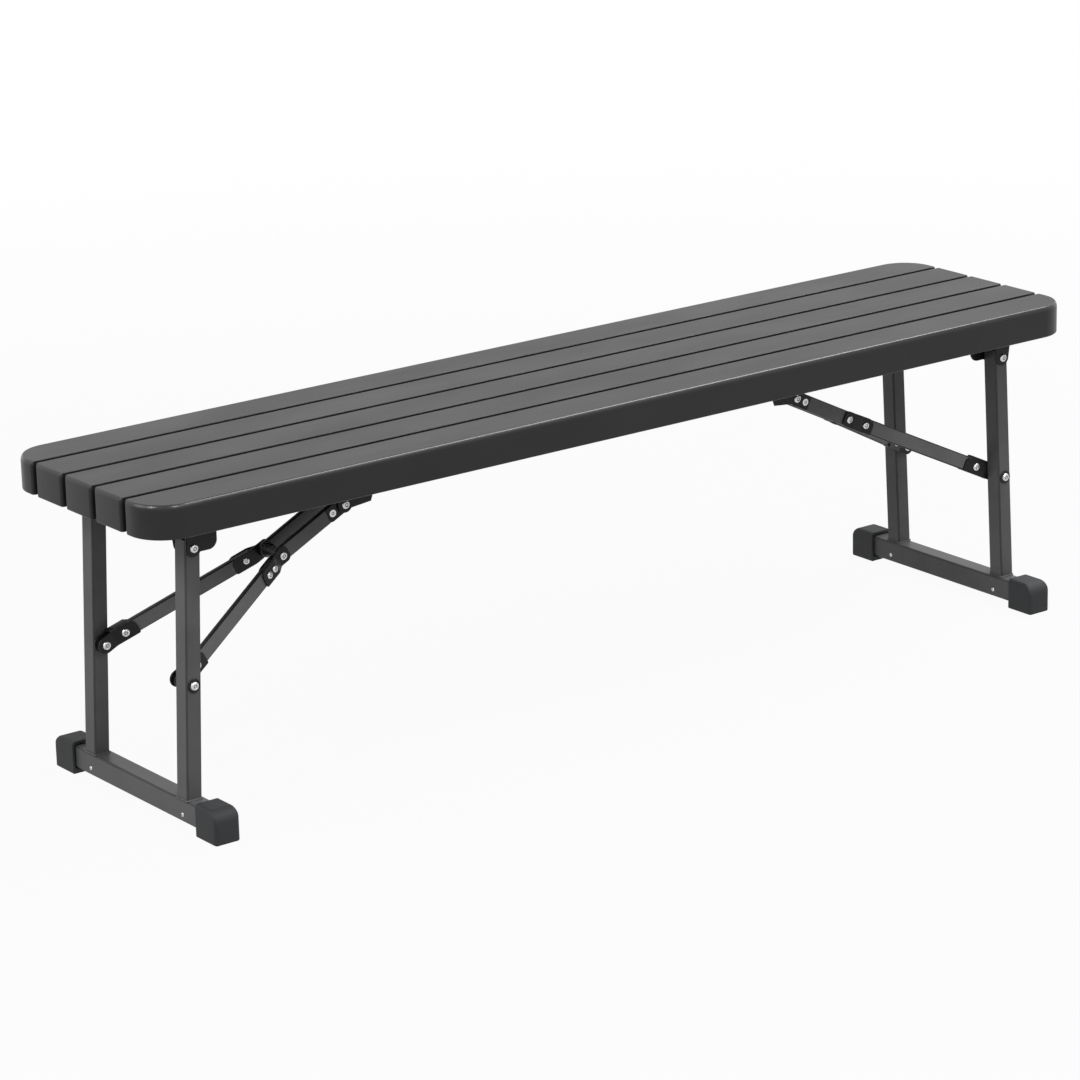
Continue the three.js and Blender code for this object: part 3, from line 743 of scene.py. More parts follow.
# %% [markdown]
# ## Cross rails
# Five rails join the slats. Each is a shallow channel of folded sheet, open downwards, with a
# rounded bend on both sides. A channel is one section drawn once and pulled along, and the caps on
# the forks use the same section, so it gets its own function.

# %% Channel section
def arc(centre, radius, start, end, steps):
    turns = [math.radians(start + (end - start) * i / steps) for i in range(steps + 1)]
    return [(centre[0] + radius * math.cos(a), centre[1] + radius * math.sin(a)) for a in turns]


def channel_section(width, height, wall, radius, steps=5):
    """A channel open downwards, its back at height 0: points across and up."""
    half, bore = width / 2, max(radius - wall, 0.5)
    outside = [(half, -height)] + arc((half - radius, -radius), radius, 0, 90, steps)
    outside += arc((radius - half, -radius), radius, 90, 180, steps) + [(-half, -height)]
    inner = half - wall
    inside = [(-inner, -height)] + arc((bore - inner, -wall - bore), bore, 180, 90, steps)
    inside += arc((inner - bore, -wall - bore), bore, 90, 0, steps) + [(inner, -height)]
    return outside + inside


# %% Rails and their screws
RAIL_TOP, RAIL_HALF = 395.7, 126
RAIL_WIDTH, RAIL_HEIGHT, RAIL_WALL, RAIL_BEND = 30, 12, 2, 3
SCREW_HEAD = (4.6, 4.6, 2.4)

section = channel_section(RAIL_WIDTH, RAIL_HEIGHT, RAIL_WALL, RAIL_BEND)
for number, rail_x in enumerate(RAIL_XS, 1):
    rings = [[(rail_x + x, y, RAIL_TOP + z) for x, z in section] for y in (-RAIL_HALF, RAIL_HALF)]
    dress("folded", f"cross_rail_{number}", [loft(rings)], rail_paint, "seat")
heads = [((x, y, RAIL_TOP - RAIL_WALL), DOWN) for x in RAIL_XS for y in SCREW_YS]
repeat("rail_screws", screw_model, heads, SCREW_HEAD, rivet_zinc, "seat")

# %% [markdown]
# ## Tubes
# The uprights, foot bars and lower links are rectangular tubes with rounded edges and open ends.
# A tube is a ring of rounded corners that runs along the outside, turns in at the end and comes
# back through the bore. A short held flat beside each corner keeps the faces of the tube flat.

# %% Rounded rectangle and tube
HELD, EASED = 0.3, 0.25


def rounded(width, height, upper, lower, steps=6):
    """Points round a rectangle; upper and lower are the radii of its corners."""
    ring = []
    for quarter, radius in enumerate((upper, upper, lower, lower)):
        side_x, side_y = QUARTERS[quarter]
        centre = (side_x * (width / 2 - radius), side_y * (height / 2 - radius))
        bend = arc(centre, radius, 90 * quarter, 90 * quarter + 90, steps)
        start, end = math.radians(90 * quarter), math.radians(90 * quarter + 90)
        before = (bend[0][0] + HELD * math.sin(start), bend[0][1] - HELD * math.cos(start))
        after = (bend[-1][0] - HELD * math.sin(end), bend[-1][1] + HELD * math.cos(end))
        ring += [before, *bend, after]
    return ring


def tube(width, height, radius, wall, start, end, at, painted_shade=0.0):
    """A tube from start to end; at(s, u, v) gives the point at s along it."""
    def section(s, inset, bend):
        return [at(s, u, v) for u, v in rounded(width - 2 * inset, height - 2 * inset, bend, bend)]

    outside = [
        (start, EASED), (start + EASED, 0), (start + 1, 0), (end - 1, 0), (end - EASED, 0), (end, EASED)
    ]
    rings = [section(s, inset, radius - inset) for s, inset in outside]
    rings += [section(s, wall, max(radius - wall, 0.5)) for s in (end, start)]
    # Painted shade: the given value on the narrow faces, at least 0.5 on the bends, 0.8 in the bore
    shades = []
    for u, v in rounded(width, height, radius, radius):
        if abs(v) > height / 2 - 0.01:
            shades.append(painted_shade)
        else:
            shades.append(0.0 if abs(u) > width / 2 - 0.01 else max(painted_shade, 0.5))
    return *loft(rings, looped=True), shades * len(outside) + [0.8] * (2 * len(shades))


print("tube section has", len(rounded(27, 30, 2.6, 2.6)), "points")

# %% [markdown]
# The uprights lean outwards by 2.7 degrees, so that the bench stands wider at the floor than its
# pivots. They end open just above the pivot rivet and stand on the foot bar, where they are welded.

# %% Uprights and foot bars
LEG_Z, UPRIGHT_Y = 364, 109.5
SPLAY = math.tan(math.radians(2.7))
UPRIGHT_WIDE, UPRIGHT_DEEP, UPRIGHT_EDGE = 22, 25, 2.4
UPRIGHT_FOOT, UPRIGHT_TOP = 38.1, 375
FOOT_X, FOOT_Z, FOOT_HALF = 686.374, 23, 187.6
FOOT_WIDE, FOOT_HIGH, FOOT_EDGE = 27, 30, 2.6
TUBE_WALL = 1.5


def upright_x(z):
    return LEG_X + (LEG_Z - z) * SPLAY


for side, leg, put in LEGS:
    shell = tube(
        UPRIGHT_WIDE, UPRIGHT_DEEP, UPRIGHT_EDGE, TUBE_WALL, UPRIGHT_FOOT, UPRIGHT_TOP,
        lambda s, u, v: put(upright_x(s) + u, UPRIGHT_Y + v, s),
    )
    dress("drawn", leg + "_upright", [shell], tube_paint, "leg_" + side)
for side, puts in SIDES.items():
    shell = tube(
        FOOT_WIDE, FOOT_HIGH, FOOT_EDGE, TUBE_WALL, -FOOT_HALF, FOOT_HALF,
        lambda s, u, v: puts[0](FOOT_X + u, s, FOOT_Z + v),
    )
    dress("drawn", side + "_foot_bar", [shell], tube_paint, "leg_" + side)
print("4 uprights and 2 foot bars")

# %% [markdown]
# ## Boots
# A boot is a moulded rubber cap with a rounded shoulder at its outer end, soft upright corners and
# a pocket for the foot bar. It is a loft along Y: each section is a rounded rectangle whose top
# follows the shoulder and whose sides draw in at the end. The sections begin in the pocket, turn
# round the mouth and run outwards.

# %% Boots
BOOT_INNER, BOOT_OUTER = 146, 192
BOOT_HIGH, BOOT_WIDE = 44, 37
SHOULDER, END_ROUND, SOLE_ROUND, MOUTH_ROUND = 16, 5, 2, 1.2
# Place along the bar, room round it, and corner radius
POCKET = ((188, 0.6, 2.6), (153, 0.6, 2.6), (147, 2.4, 3.4), (BOOT_INNER, 3.4, 3.8))


def curve(start, radius, angles):
    """Places along a quarter round that begins at start; a negative radius runs backwards."""
    return [start + radius * (1 - math.cos(math.radians(a))) for a in angles]


def boot_section(y):
    gap = BOOT_OUTER - y
    mouth = drawn_in(y - BOOT_INNER, MOUTH_ROUND)
    top = BOOT_HIGH - drawn_in(gap, SHOULDER) - mouth
    low = drawn_in(gap, SOLE_ROUND) + mouth * 0.6
    half = BOOT_WIDE / 2 - drawn_in(gap, END_ROUND) - mouth
    ring = rounded(2 * half, top - low, END_ROUND, SOLE_ROUND, 7)
    return [(u, v + (top + low) / 2) for u, v in ring]


stations = curve(BOOT_OUTER, -SHOULDER, range(9, 91, 9)) + [BOOT_OUTER - SHOULDER - 1]
stations += curve(BOOT_OUTER, -END_ROUND, (60, 40, 25, 12, 0))
stations += [BOOT_INNER + step for step in (0, 0.1, 0.4, 0.8, 1.2, 2.0)]
for side, leg, put in LEGS:
    rings = []
    for y, room, radius in POCKET:
        ring = rounded(FOOT_WIDE + room, FOOT_HIGH + room, radius, radius, 7)
        rings.append([put(FOOT_X + u, y, FOOT_Z + v) for u, v in ring])
    for y in sorted(stations):
        rings.append([put(FOOT_X + u, y, v) for u, v in boot_section(y)])
    made = dress("moulded", leg + "_boot", [loft(rings)], boot_rubber, "leg_" + side)
print("4 boots of", len(made.data.polygons), "faces")

# %% [markdown]
# ## Plates
# Ears, forks and knee plates are stamped from sheet of 2.5 mm and their cut edges are slightly
# rounded, which is what shows as a light rim in the photograph. A plate is given by its upper and
# its lower edge at the same places along it. The outline is moved inwards in steps for the rounding,
# and the two faces are strips between the edges, so that a plate can be bent across its length.

# %% Moving an outline inwards
def moved_in(loop, distance):
    """The outline, which runs clockwise, with every side moved inwards by the distance."""
    result = []
    for i, point in enumerate(loop):
        before = (Vector(point) - Vector(loop[i - 1])).normalized()
        after = (Vector(loop[(i + 1) % len(loop)]) - Vector(point)).normalized()
        moved = (before + after) * (distance / max(0.35, 1 + before.dot(after)))
        result.append((point[0] + moved.y, point[1] - moved.x))
    return result


# %% Plate
SHEET, LOBE = 2.5, 11


def plate(stations, upper, lower, near, far, at, edge=0.5, steps=3):
    """A plate between two thickness planes; upper and lower give its edges at each station."""
    stations = sorted(stations)
    count = len(stations)
    loop = [(x, upper(x)) for x in stations] + [(x, lower(x)) for x in reversed(stations)]
    layers = [(near, edge + 0.5)]
    for i in range(steps + 1):
        angle = math.radians(90 * i / steps)
        layers.append((near + edge * (1 - math.cos(angle)), edge * (1 - math.sin(angle))))
    layers += [(near + far - thick, inset) for thick, inset in reversed(layers)]
    rings = [[at(x, thick, z) for x, z in moved_in(loop, inset)] for thick, inset in layers]
    points, faces = loft(rings)
    faces = faces[:-2]
    # Painted shade on the cut edge and its rounding, fading out onto the faces
    shades = [max(0.0, 1 - inset / edge) for thick, inset in layers for point in loop]
    last = (len(rings) - 1) * 2 * count
    for i in range(count - 1):
        j = 2 * count - 1 - i
        faces.append((i, i + 1, j - 1, j))
        faces.append((last + j, last + j - 1, last + i + 1, last + i))
    return points, faces, shades


def round_end(centre, radius, side):
    """Ten stations that follow a round end; side is -1 where it lies before the centre."""
    return [centre + side * radius * math.cos(math.radians(9 * i + 4.5)) for i in range(10)]


def lobe(x):
    return [*round_end(x, LOBE, -1), x, *round_end(x, LOBE, 1)]


print("plate helpers ready")

# %% [markdown]
# ## Pivot brackets
# A pivot bracket is a folded channel under the end of a rail. Its web takes two bolts, and its two
# ears hold the leg between them: one large ear with a rounded toe, one small one. Web, ears and the
# two bends between them are separate shells of one mesh that meet or overlap by a hair.

# %% Bracket parts
WEB_TOP, BEND = 383.4, 3.4
OUTER_FACE, INNER_FACE = UPRIGHT_Y + 15.3, UPRIGHT_Y - 15.3


def lobe_under(x, centre_x, centre_z):
    return centre_z - math.sqrt(max(0.0, LOBE * LOBE - (x - centre_x) ** 2))


def bend_strip(start, end, face_y, side, put):
    """The quarter bend between web and ear; side is +1 where the ear's outer face looks to +Y."""
    centre = (face_y - side * BEND, WEB_TOP - BEND)
    last = 0 if side > 0 else 180
    section = arc(centre, BEND, 90, last, 6) + arc(centre, BEND - SHEET, last, 90, 6)
    return loft([[put(x, y, z) for y, z in section] for x in (start, end)])


def web_shell(start, end, low_y, high_y, notches, put):
    """The flat web; notches are (start, end, side) where an ear bends away from it."""
    def half(x, side):
        taken = drawn_in(min(x - start, end - x), 3)
        if any(where == side and a < x < b for a, b, where in notches):
            taken = max(taken, BEND - 0.1)
        return (high_y if side > 0 else low_y) - side * taken

    stations = {v for a, b, where in notches for v in (a - 0.1, a + 0.1, b - 0.1, b + 0.1)}
    stations |= {v for d in (0, 0.3, 1, 2, 3) for v in (start + d, end - d)}
    return plate(
        stations, lambda x: half(x, 1), lambda x: half(x, -1), WEB_TOP - SHEET, WEB_TOP,
        lambda x, t, y: put(x, y, t), edge=0.3, steps=2,
    )


def ear(stations, low, inner_y, put):
    return plate(stations, lambda x: WEB_TOP - BEND, low, inner_y, inner_y + SHEET, put, edge=0.45)


print("bracket helpers ready")

# %% Pivot brackets
TOE_X, TOE_ROUND = LEG_X - 34, 12
EAR_LOW = LEG_Z - 6
SMALL_ROOT = 14
LARGE_OUTSIDE = ("right_rear", "left_front")


def large_ear_low(x):
    if x < TOE_X + TOE_ROUND:
        return EAR_LOW + drawn_in(x - TOE_X, TOE_ROUND)
    return min(EAR_LOW, lobe_under(x, LEG_X, LEG_Z) if x > LEG_X - 9.3 else EAR_LOW)


def small_ear_low(x):
    gap = abs(x - LEG_X)
    if gap > LOBE:
        return LEG_Z + (gap - LOBE) * (WEB_TOP - LEG_Z) / (SMALL_ROOT - LOBE)
    return lobe_under(x, LEG_X, LEG_Z)


large_stations = curve(TOE_X, TOE_ROUND, range(5, 91, 9)) + [x for x in lobe(LEG_X) if x > LEG_X - 9]
large_stations += spread(TOE_X + TOE_ROUND + 1, LEG_X - 9.4, 4)
small_stations = lobe(LEG_X) + [LEG_X + step for step in (-13.2, -12, 12, 13.2)]
large = (large_stations, large_ear_low, (TOE_X, LEG_X + LOBE))
small = (small_stations, small_ear_low, (LEG_X - SMALL_ROOT, LEG_X + SMALL_ROOT))
for side, leg, put in LEGS:
    outer, inner = (large, small) if leg in LARGE_OUTSIDE else (small, large)
    web = web_shell(
        LEG_X - 42, LEG_X + 32, INNER_FACE, OUTER_FACE, [(*outer[2], 1), (*inner[2], -1)], put
    )
    shells = [
        ear(*outer[:2], OUTER_FACE - SHEET, put), ear(*inner[:2], INNER_FACE, put),
        bend_strip(*outer[2], OUTER_FACE, 1, put), bend_strip(*inner[2], INNER_FACE, -1, put), web,
    ]
    made = dress("folded", leg + "_pivot_bracket", shells, plate_paint, "seat")
print("4 pivot brackets of", len(made.data.polygons), "faces")

# %% [markdown]
# The anchor bracket hangs in the middle of a rail and holds the inner ends of both upper braces on
# one long pin. Its ears taper from a long root to the lobe round the pin.

# %% Anchor brackets
ANCHOR_Z, ANCHOR_EAR_Y = 338, 21.6
ANCHOR_FACE = ANCHOR_EAR_Y + SHEET
WEB_START, WEB_END = ANCHOR_X - 58, ANCHOR_X + 13
TAPER_X, TAPER_Z = ANCHOR_X - 40, 335


def anchor_ear_low(x):
    if x < TAPER_X:
        return TAPER_Z + (TAPER_X - x) * (WEB_TOP - TAPER_Z) / (TAPER_X - WEB_START)
    if x < ANCHOR_X - 9.2:
        return TAPER_Z - 3 * (x - TAPER_X) / 30.8
    if x <= ANCHOR_X + LOBE:
        return lobe_under(x, ANCHOR_X, ANCHOR_Z)
    return ANCHOR_Z + (x - ANCHOR_X - LOBE) * (WEB_TOP - ANCHOR_Z) / (WEB_END - ANCHOR_X - LOBE)


anchor_stations = [ANCHOR_X - step for step in (56.5, 52, 48, 44, 41, 40, 38, 30, 20, 12, 9.4)]
anchor_stations += [x for x in lobe(ANCHOR_X) if x > ANCHOR_X - 9] + [ANCHOR_X + 11.4, ANCHOR_X + 12.6]
notches = [(WEB_START + 0.1, WEB_END - 0.1, way) for way in (1, -1)]
for side, puts in SIDES.items():
    shells = []
    for put in puts:
        shells.append(ear(anchor_stations, anchor_ear_low, ANCHOR_EAR_Y, put))
        shells.append(bend_strip(WEB_START + 0.5, WEB_END - 0.2, ANCHOR_FACE, 1, put))
    shells.append(web_shell(WEB_START, WEB_END, -ANCHOR_FACE, ANCHOR_FACE, notches, puts[0]))
    dress("folded", side + "_anchor_bracket", shells, plate_paint, "seat")
print("2 anchor brackets")

# %% [markdown]
# ## Knee braces
# Each upright is held open by a brace of two links, drawn here along their own length. The lower
# link starts beside the upright and slants in to the middle, the upper link runs straight from the
# anchor. Open, the two lie in one line that drops by 26.5 degrees towards the upright.

# %% Frames along the links
BRACE_X, BRACE_Z = 681.838, 187.196
LOWER_LENGTH, UPPER_LENGTH = 228.222, 109.191
SLOPE = math.atan2(ANCHOR_Z - BRACE_Z, BRACE_X - ANCHOR_X)
FORK_INNER_Y, KNEE_INNER_Y = 85.9, 21.2
SLANT_START, SLANT_END = 13, LOWER_LENGTH - 18
LINK_PATH = [(SLANT_START, FORK_INNER_Y), (SLANT_END, KNEE_INNER_Y)]


def along(start_x, start_z, way, put):
    """Points drawn along a link: x along it, y across the bench, z square to it and upwards."""
    run, rise = way * math.cos(SLOPE), -way * math.sin(SLOPE)
    return lambda x, y, z: put(
        start_x + run * x + math.sin(SLOPE) * z, y, start_z + rise * x + math.cos(SLOPE) * z
    )


def on_lower(put):
    return along(BRACE_X, BRACE_Z, -1, put)


def on_upper(put):
    return along(ANCHOR_X, ANCHOR_Z, 1, put)


def follow(x, stops, soft=1.6):
    """A value that changes in straight runs between the stops, with the kinks rounded off."""
    def straight(at):
        if at <= stops[0][0]:
            return stops[0][1]
        for (a, low), (b, high) in zip(stops, stops[1:]):
            if at <= b:
                return low + (high - low) * (at - a) / (b - a)
        return stops[-1][1]
    return sum(straight(x + soft * k / 4) for k in range(-4, 5)) / 9


print("brace slope", round(math.degrees(SLOPE), 2), "degrees")

# %% [markdown]
# The links are flat tubes of 21 by 8 mm. The lower one is cut square at both ends. The upper one
# has flattened, round ends that are drilled for the pins, so it is a thick plate with a large
# edge rounding. A thin dark end fitting lies on its outer face at the anchor.

# %% Links
LINK_THICK, LINK_HIGH = 8, 21
LINK_EDGE, LINK_WALL, LINK_START = 1.7, 1.2, 15
UPPER_Y = 12
FITTING_END, FITTING_ROUND, FITTING_Y = 28, 4, 21.1


def link_half(x):
    gap = max(-x, x - UPPER_LENGTH, 0)
    return math.sqrt(max(0.0, (LINK_HIGH / 2) ** 2 - gap ** 2))


def fitting_half(x):
    return min(link_half(x), LINK_HIGH / 2 - drawn_in(FITTING_END - x, FITTING_ROUND)) - 0.1


link_end = round_end(0, LINK_HIGH / 2, -1)
link_stations = link_end + spread(0, UPPER_LENGTH, 12) + round_end(UPPER_LENGTH, LINK_HIGH / 2, 1)
fitting_stations = link_end + spread(0, 24, 8) + [FITTING_END - step for step in (3, 1.6, 0.6, 0.1)]
for side, leg, put in LEGS:
    at = on_lower(put)
    # The narrow faces of the lower link get full painted shade
    shell = tube(
        LINK_THICK, LINK_HIGH, LINK_EDGE, LINK_WALL, LINK_START, SLANT_END,
        lambda s, u, v: at(s, follow(s, LINK_PATH) + LINK_THICK / 2 + u, v), painted_shade=1.0,
    )
    dress("drawn", leg + "_lower_link", [shell], lit_link_paint, "lower_brace_" + leg)
    shell = plate(
        link_stations, link_half, lambda x: -link_half(x), UPPER_Y, UPPER_Y + LINK_THICK,
        on_upper(put), edge=LINK_EDGE, steps=5,
    )
    dress("drawn", leg + "_upper_link", [shell], lit_link_paint, "upper_brace_" + side)
    shell = plate(
        fitting_stations, fitting_half, lambda x: -fitting_half(x),
        UPPER_Y + LINK_THICK - 0.1, FITTING_Y, on_upper(put), edge=0.3, steps=2,
    )
    piece(leg + "_end_fitting", [shell], plate_paint, "upper_brace_" + side)
print("4 lower links, 4 upper links and 4 end fittings")

# %% [markdown]
# A fork holds each lower link at the upright: two round-ended cheeks and a cap over the upper edge
# of the link, folded from one sheet. The far upper corner of the cheeks is cut round and the lower
# one is nearly sharp. The knee plate lies on the outer face of the link, steps in to the upper link
# and ends in a lobe round the knee rivet. At the left it is longer and has two rivets, at the right
# one. A thin cheek on the inner face takes the other ends of these rivets.

# %% Forks
FORK_END = 46
ROUND_CUT, SHARP_CUT = 9, 2
CHEEK_Y = LINK_THICK + 0.3
CAP_TOP, CAP_START, CAP_END = 13.3, 12.6, 37.5


def fork_half(x, cut):
    rounded_end = math.sqrt(max(0.0, LOBE * LOBE - min(x, 0) ** 2))
    return min(rounded_end, LOBE - drawn_in(FORK_END - x, cut))


fork_stations = round_end(0, LOBE, -1) + [0, 5, 9, 11, 12, 13, 14, 15, 17, 24, 31, 37]
fork_stations += curve(FORK_END, -ROUND_CUT, (75, 60, 47, 35, 24, 14, 6, 1))
cap_section = channel_section(13.7, 5.6, 2.55, 2.8)
for side, leg, put in LEGS:
    at = on_lower(put)

    def beside(x, thick, z):
        return at(x, follow(x, LINK_PATH) + thick, z)

    shells = [
        plate(
            fork_stations, lambda x: fork_half(x, ROUND_CUT), lambda x: -fork_half(x, SHARP_CUT),
            near, near + SHEET, beside,
        )
        for near in (CHEEK_Y, -0.3 - SHEET)
    ]
    rings = [
        [beside(x, LINK_THICK / 2 + u, CAP_TOP + v) for u, v in cap_section]
        for x in (CAP_START, 13.5, 15, CAP_END)
    ]
    shells.append(loft(rings))
    dress("folded", leg + "_lower_fork", shells, plate_paint, "lower_brace_" + leg)
print("4 forks")

# %% Knee plates
KNEE_LOBE_Y, KNEE_LOBE = 20.3, 7
KNEE_PATH = [
    (SLANT_START, FORK_INNER_Y + CHEEK_Y), (SLANT_END, KNEE_INNER_Y + CHEEK_Y),
    (LOWER_LENGTH - 8, KNEE_LOBE_Y), (LOWER_LENGTH + 20, KNEE_LOBE_Y),
]
KNEE_BACK = {"left": 46, "right": 34}
KNEE_END = LOWER_LENGTH + 10


def knee_half(x):
    return LOBE - drawn_in(KNEE_END - x, KNEE_LOBE)


for side, leg, put in LEGS:
    at = on_lower(put)
    back = LOWER_LENGTH - KNEE_BACK[side]

    def knee_plate(stations, path, near, far, edge, steps):
        return plate(
            stations,
            lambda x: knee_half(x) - drawn_in(x - back, ROUND_CUT),
            lambda x: drawn_in(x - back, SHARP_CUT) - knee_half(x),
            near, far, lambda x, t, z: at(x, follow(x, path) + t, z), edge, steps,
        )

    cut = curve(back, ROUND_CUT, (4, 14, 26, 38, 50, 62, 75, 90))
    stations = spread(back + 10, SLANT_END - 2, 3) + spread(SLANT_END - 1.5, LOWER_LENGTH - 6, 0.9)
    stations += [LOWER_LENGTH - 3, LOWER_LENGTH] + round_end(KNEE_END - KNEE_LOBE, KNEE_LOBE, 1)
    shell = knee_plate(cut + stations, KNEE_PATH, 0, SHEET, 0.6, 3)
    dress("stamped", leg + "_knee_plate", [shell], plate_paint, "lower_brace_" + leg)
    shell = knee_plate(cut + spread(back + 10, SLANT_END + 12, 3), LINK_PATH, -1.0, 1.3, 0.3, 2)
    piece(leg + "_inner_cheek", [shell], plate_paint, "lower_brace_" + leg)
print("4 knee plates and 4 inner cheeks")

# %% [markdown]
# ## Spacers, pins and rivets
# A sleeve between the upper links keeps them apart at the knee, and the anchor pin runs through
# both of them. These round bars are turned profiles along Y. All rivet heads are copies of the one
# rivet model, set by the repeater on a list of points for each body.

# %% Round bars
SLEEVE = (
    (4, -20), (4, -11.8), (8.4, -11.7), (9, -11.1), (9, -7), (8.2, -6.4),
    (8.2, 6.4), (9, 7), (9, 11.1), (8.4, 11.7), (4, 11.8), (4, 20),
)
PIN_RADIUS = 3.9
CHEEK_FACE = FORK_INNER_Y - 0.3 - SHEET
UPRIGHT_FACE = UPRIGHT_Y + UPRIGHT_DEEP / 2


def bar(x, z, profile, put):
    """A profile of (radius, y) pairs turned about a line along Y through x and z."""
    return loft([
        [put(x + across, y, z + up) for across, up, y in circle(radius, y, 40)] for radius, y in profile
    ])


def pin(x, z, start, end, put):
    return bar(x, z, ((PIN_RADIUS, start), (PIN_RADIUS, end)), put)


for side, puts in SIDES.items():
    sleeve = bar(UPPER_LENGTH, 0, SLEEVE, on_upper(puts[0]))
    dress("turned", side + "_knee_spacer", [sleeve], plate_paint, "upper_brace_" + side)
    shells = [pin(ANCHOR_X, ANCHOR_Z, -ANCHOR_FACE - 0.2, ANCHOR_FACE + 0.2, puts[0])]
    shells += [pin(LEG_X, LEG_Z, INNER_FACE - 0.3, OUTER_FACE + 0.3, put) for put in puts]
    piece(side + "_pivot_shanks", shells, rivet_zinc, "seat")
    shells = [pin(BRACE_X, BRACE_Z, CHEEK_FACE - 0.3, UPRIGHT_FACE + 0.3, put) for put in puts]
    piece(side + "_brace_shanks", shells, rivet_zinc, "leg_" + side)
print("2 spacers, 2 anchor pins, 8 rivet shanks")

# %% [markdown]
# A rivet head faces along Y, so a place is a point and the direction in which the head looks. On
# the slanted links the heads look a little inwards as well, at right angles to the face they sit on.

# %% Heads of the seat and the legs
REAR, FRONT = (0, 1, 0), (0, -1, 0)
BOLT_Z = WEB_TOP - SHEET
BOLT = (7.5, 7.5, 3.4)
WASHER = ((3.5, 0.05), (8.7, 0.05), (9.2, 0.5), (9.2, 1.1), (8.7, 1.6), (3.5, 1.6))


def facing(at, x, y, z, way):
    """The point and the direction of way, both moved to their corner of the bench."""
    start, end = Vector(at(x, y, z)), Vector(at(x + way[0], y + way[1], z + way[2]))
    return tuple(start), tuple((end - start).normalized())


def set_heads(name, puts, spots, radius, height, body, nodes=()):
    """Rivet heads for one body; a spot is x, y, z and the direction in which the head looks."""
    places = [facing(put, *spot) for put in puts for spot in spots]
    repeat(name, rivet_model, places, (radius, radius, height), rivet_zinc, body, nodes)


puts = [put for side, leg, put in LEGS]
spots = (
    (LEG_X, OUTER_FACE + 0.1, LEG_Z, REAR), (LEG_X, INNER_FACE - 0.1, LEG_Z, FRONT),
    (ANCHOR_X, ANCHOR_FACE + 0.1, ANCHOR_Z, REAR),
)
nodes = [leg + "_leg_pivot_rivet" for side, leg, put in LEGS] + ["left_anchor_pin", "right_anchor_pin"]
set_heads("pivot_rivet_heads", puts, spots, 5.8, 3.2, "seat", nodes)
bolts = [facing(put, LEG_X + x, UPRIGHT_Y, BOLT_Z, DOWN) for put in puts for x in (-30, 23.5)]
repeat("bracket_bolts", bolt_model, bolts, BOLT, plate_paint, "seat")

washer = [(radius, UPRIGHT_FACE + lift) for radius, lift in WASHER]
spots = (
    (BRACE_X, UPRIGHT_FACE + 1.5, BRACE_Z, REAR), (BRACE_X, CHEEK_FACE - 0.1, BRACE_Z, FRONT)
)
bar_spots = [(FOOT_X + way * FOOT_WIDE / 2, UPRIGHT_Y, 18, (way, 0, 0)) for way in (1, -1)]
for side, puts in SIDES.items():
    nodes = [f"{side}_{place}_brace_rivet" for place in PLACES[side]]
    set_heads(side + "_brace_rivet_heads", puts, spots, 5.8, 3, "leg_" + side, nodes)
    set_heads(side + "_foot_bar_rivets", puts, bar_spots, 2.8, 1.3, "leg_" + side)
    washers = [bar(BRACE_X, BRACE_Z, washer, put) for put in puts]
    piece(side + "_brace_washers", washers, plate_paint, "leg_" + side)

# %% Heads of the braces
SLANT = math.atan2(FORK_INNER_Y - KNEE_INNER_Y, SLANT_END - SLANT_START)
OUTWARDS = (math.sin(SLANT), math.cos(SLANT), 0)
INWARDS = (-math.sin(SLANT), -math.cos(SLANT), 0)
OUTER_SEAT, INNER_SEAT = CHEEK_Y + SHEET - 0.1, -0.2 - SHEET
FORK_RIVET = 29
KNEE_RIVETS = {"left": (23, 35), "right": (23,)}


def on_link(x, lift, way):
    return (x, follow(x, LINK_PATH) + lift, 0, way)


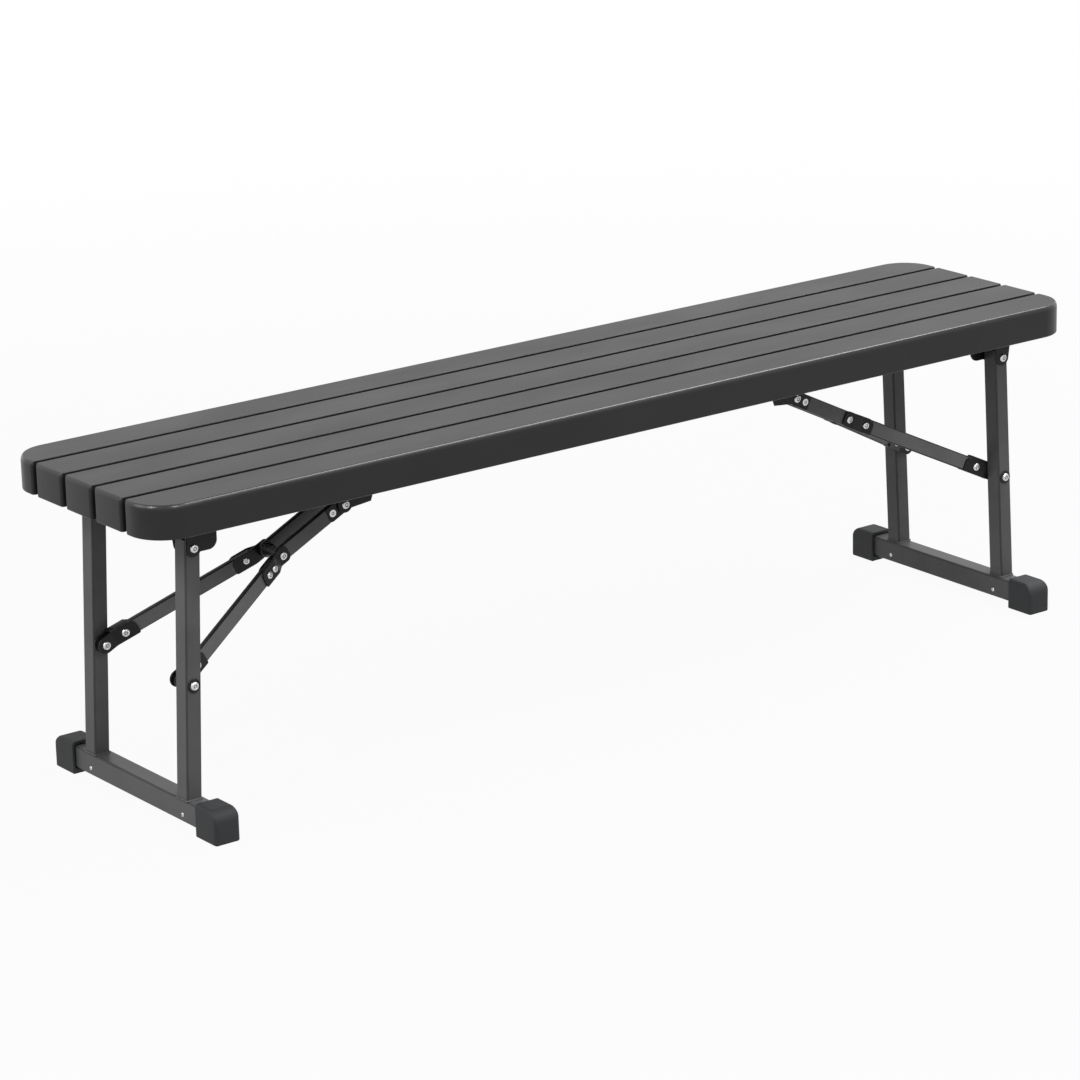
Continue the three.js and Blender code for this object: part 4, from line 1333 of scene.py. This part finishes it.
spots = (
    on_link(FORK_RIVET, OUTER_SEAT, OUTWARDS),
    (LOWER_LENGTH, KNEE_LOBE_Y + SHEET - 0.1, 0, REAR),
    on_link(FORK_RIVET, INNER_SEAT, INWARDS),
)
for side, leg, put in LEGS:
    at, body = [on_lower(put)], "lower_brace_" + leg
    knee_spots = [on_link(LOWER_LENGTH - back, OUTER_SEAT, OUTWARDS) for back in KNEE_RIVETS[side]]
    set_heads(leg + "_brace_heads", at, spots, 5.6, 3, body, [leg + "_knee_rivet"])
    set_heads(leg + "_knee_heads", at, knee_spots, 4.9, 2.6, body)
    set_heads(leg + "_rivet_tail", at, [on_link(LOWER_LENGTH - 29, -1.1, INWARDS)], 4.2, 1.2, body)
for side, puts in SIDES.items():
    at = [on_upper(put) for put in puts]
    set_heads(side + "_fitting_heads", at, [(20, FITTING_Y, 0, REAR)], 5, 0.35, "upper_brace_" + side)

# %% [markdown]
# ## Weld beads
# Each upright is welded to its foot bar all round. A bead is a row of overlapping ripples, so the
# repeater sets a small round drop on points about 1.4 mm apart along the foot of the upright. The
# bead is painted with the tubes.

# %% Weld beads
DROP = ((0.5, -0.5), (0.8, -0.25), (1, 0), (0.85, 0.45), (0.5, 0.8), (0.1, 0.95))
DROP_SIZE, DROP_STEP = (1.5, 1.5, 1.7), 1.4
BEAD_ROOM, BEAD_Z = 0.6, 38.2
drop_model = model_object("drop_model", turned(DROP, 12), smooth=180)


def bead_places(put):
    ring = rounded(UPRIGHT_WIDE + BEAD_ROOM, UPRIGHT_DEEP + BEAD_ROOM, 2.6, 2.6, 3)
    places = []
    for (u0, v0), (u1, v1) in zip(ring, ring[1:] + ring[:1]):
        count = max(1, round(math.hypot(u1 - u0, v1 - v0) / DROP_STEP))
        for k in range(count):
            u, v = u0 + (u1 - u0) * (k / count), v0 + (v1 - v0) * (k / count)
            places.append((put(upright_x(38) + u, UPRIGHT_Y + v, BEAD_Z), UP))
    return places


for side, puts in SIDES.items():
    beads = bead_places(puts[0]) + bead_places(puts[1])
    repeat(side + "_weld_beads", drop_model, beads, DROP_SIZE, tube_paint, "leg_" + side)

# %% [markdown]
# ## The finished bench
# Standard view keeps the colours as they are written.

# %% Colour view
bpy.context.scene.view_settings.view_transform = "Standard"
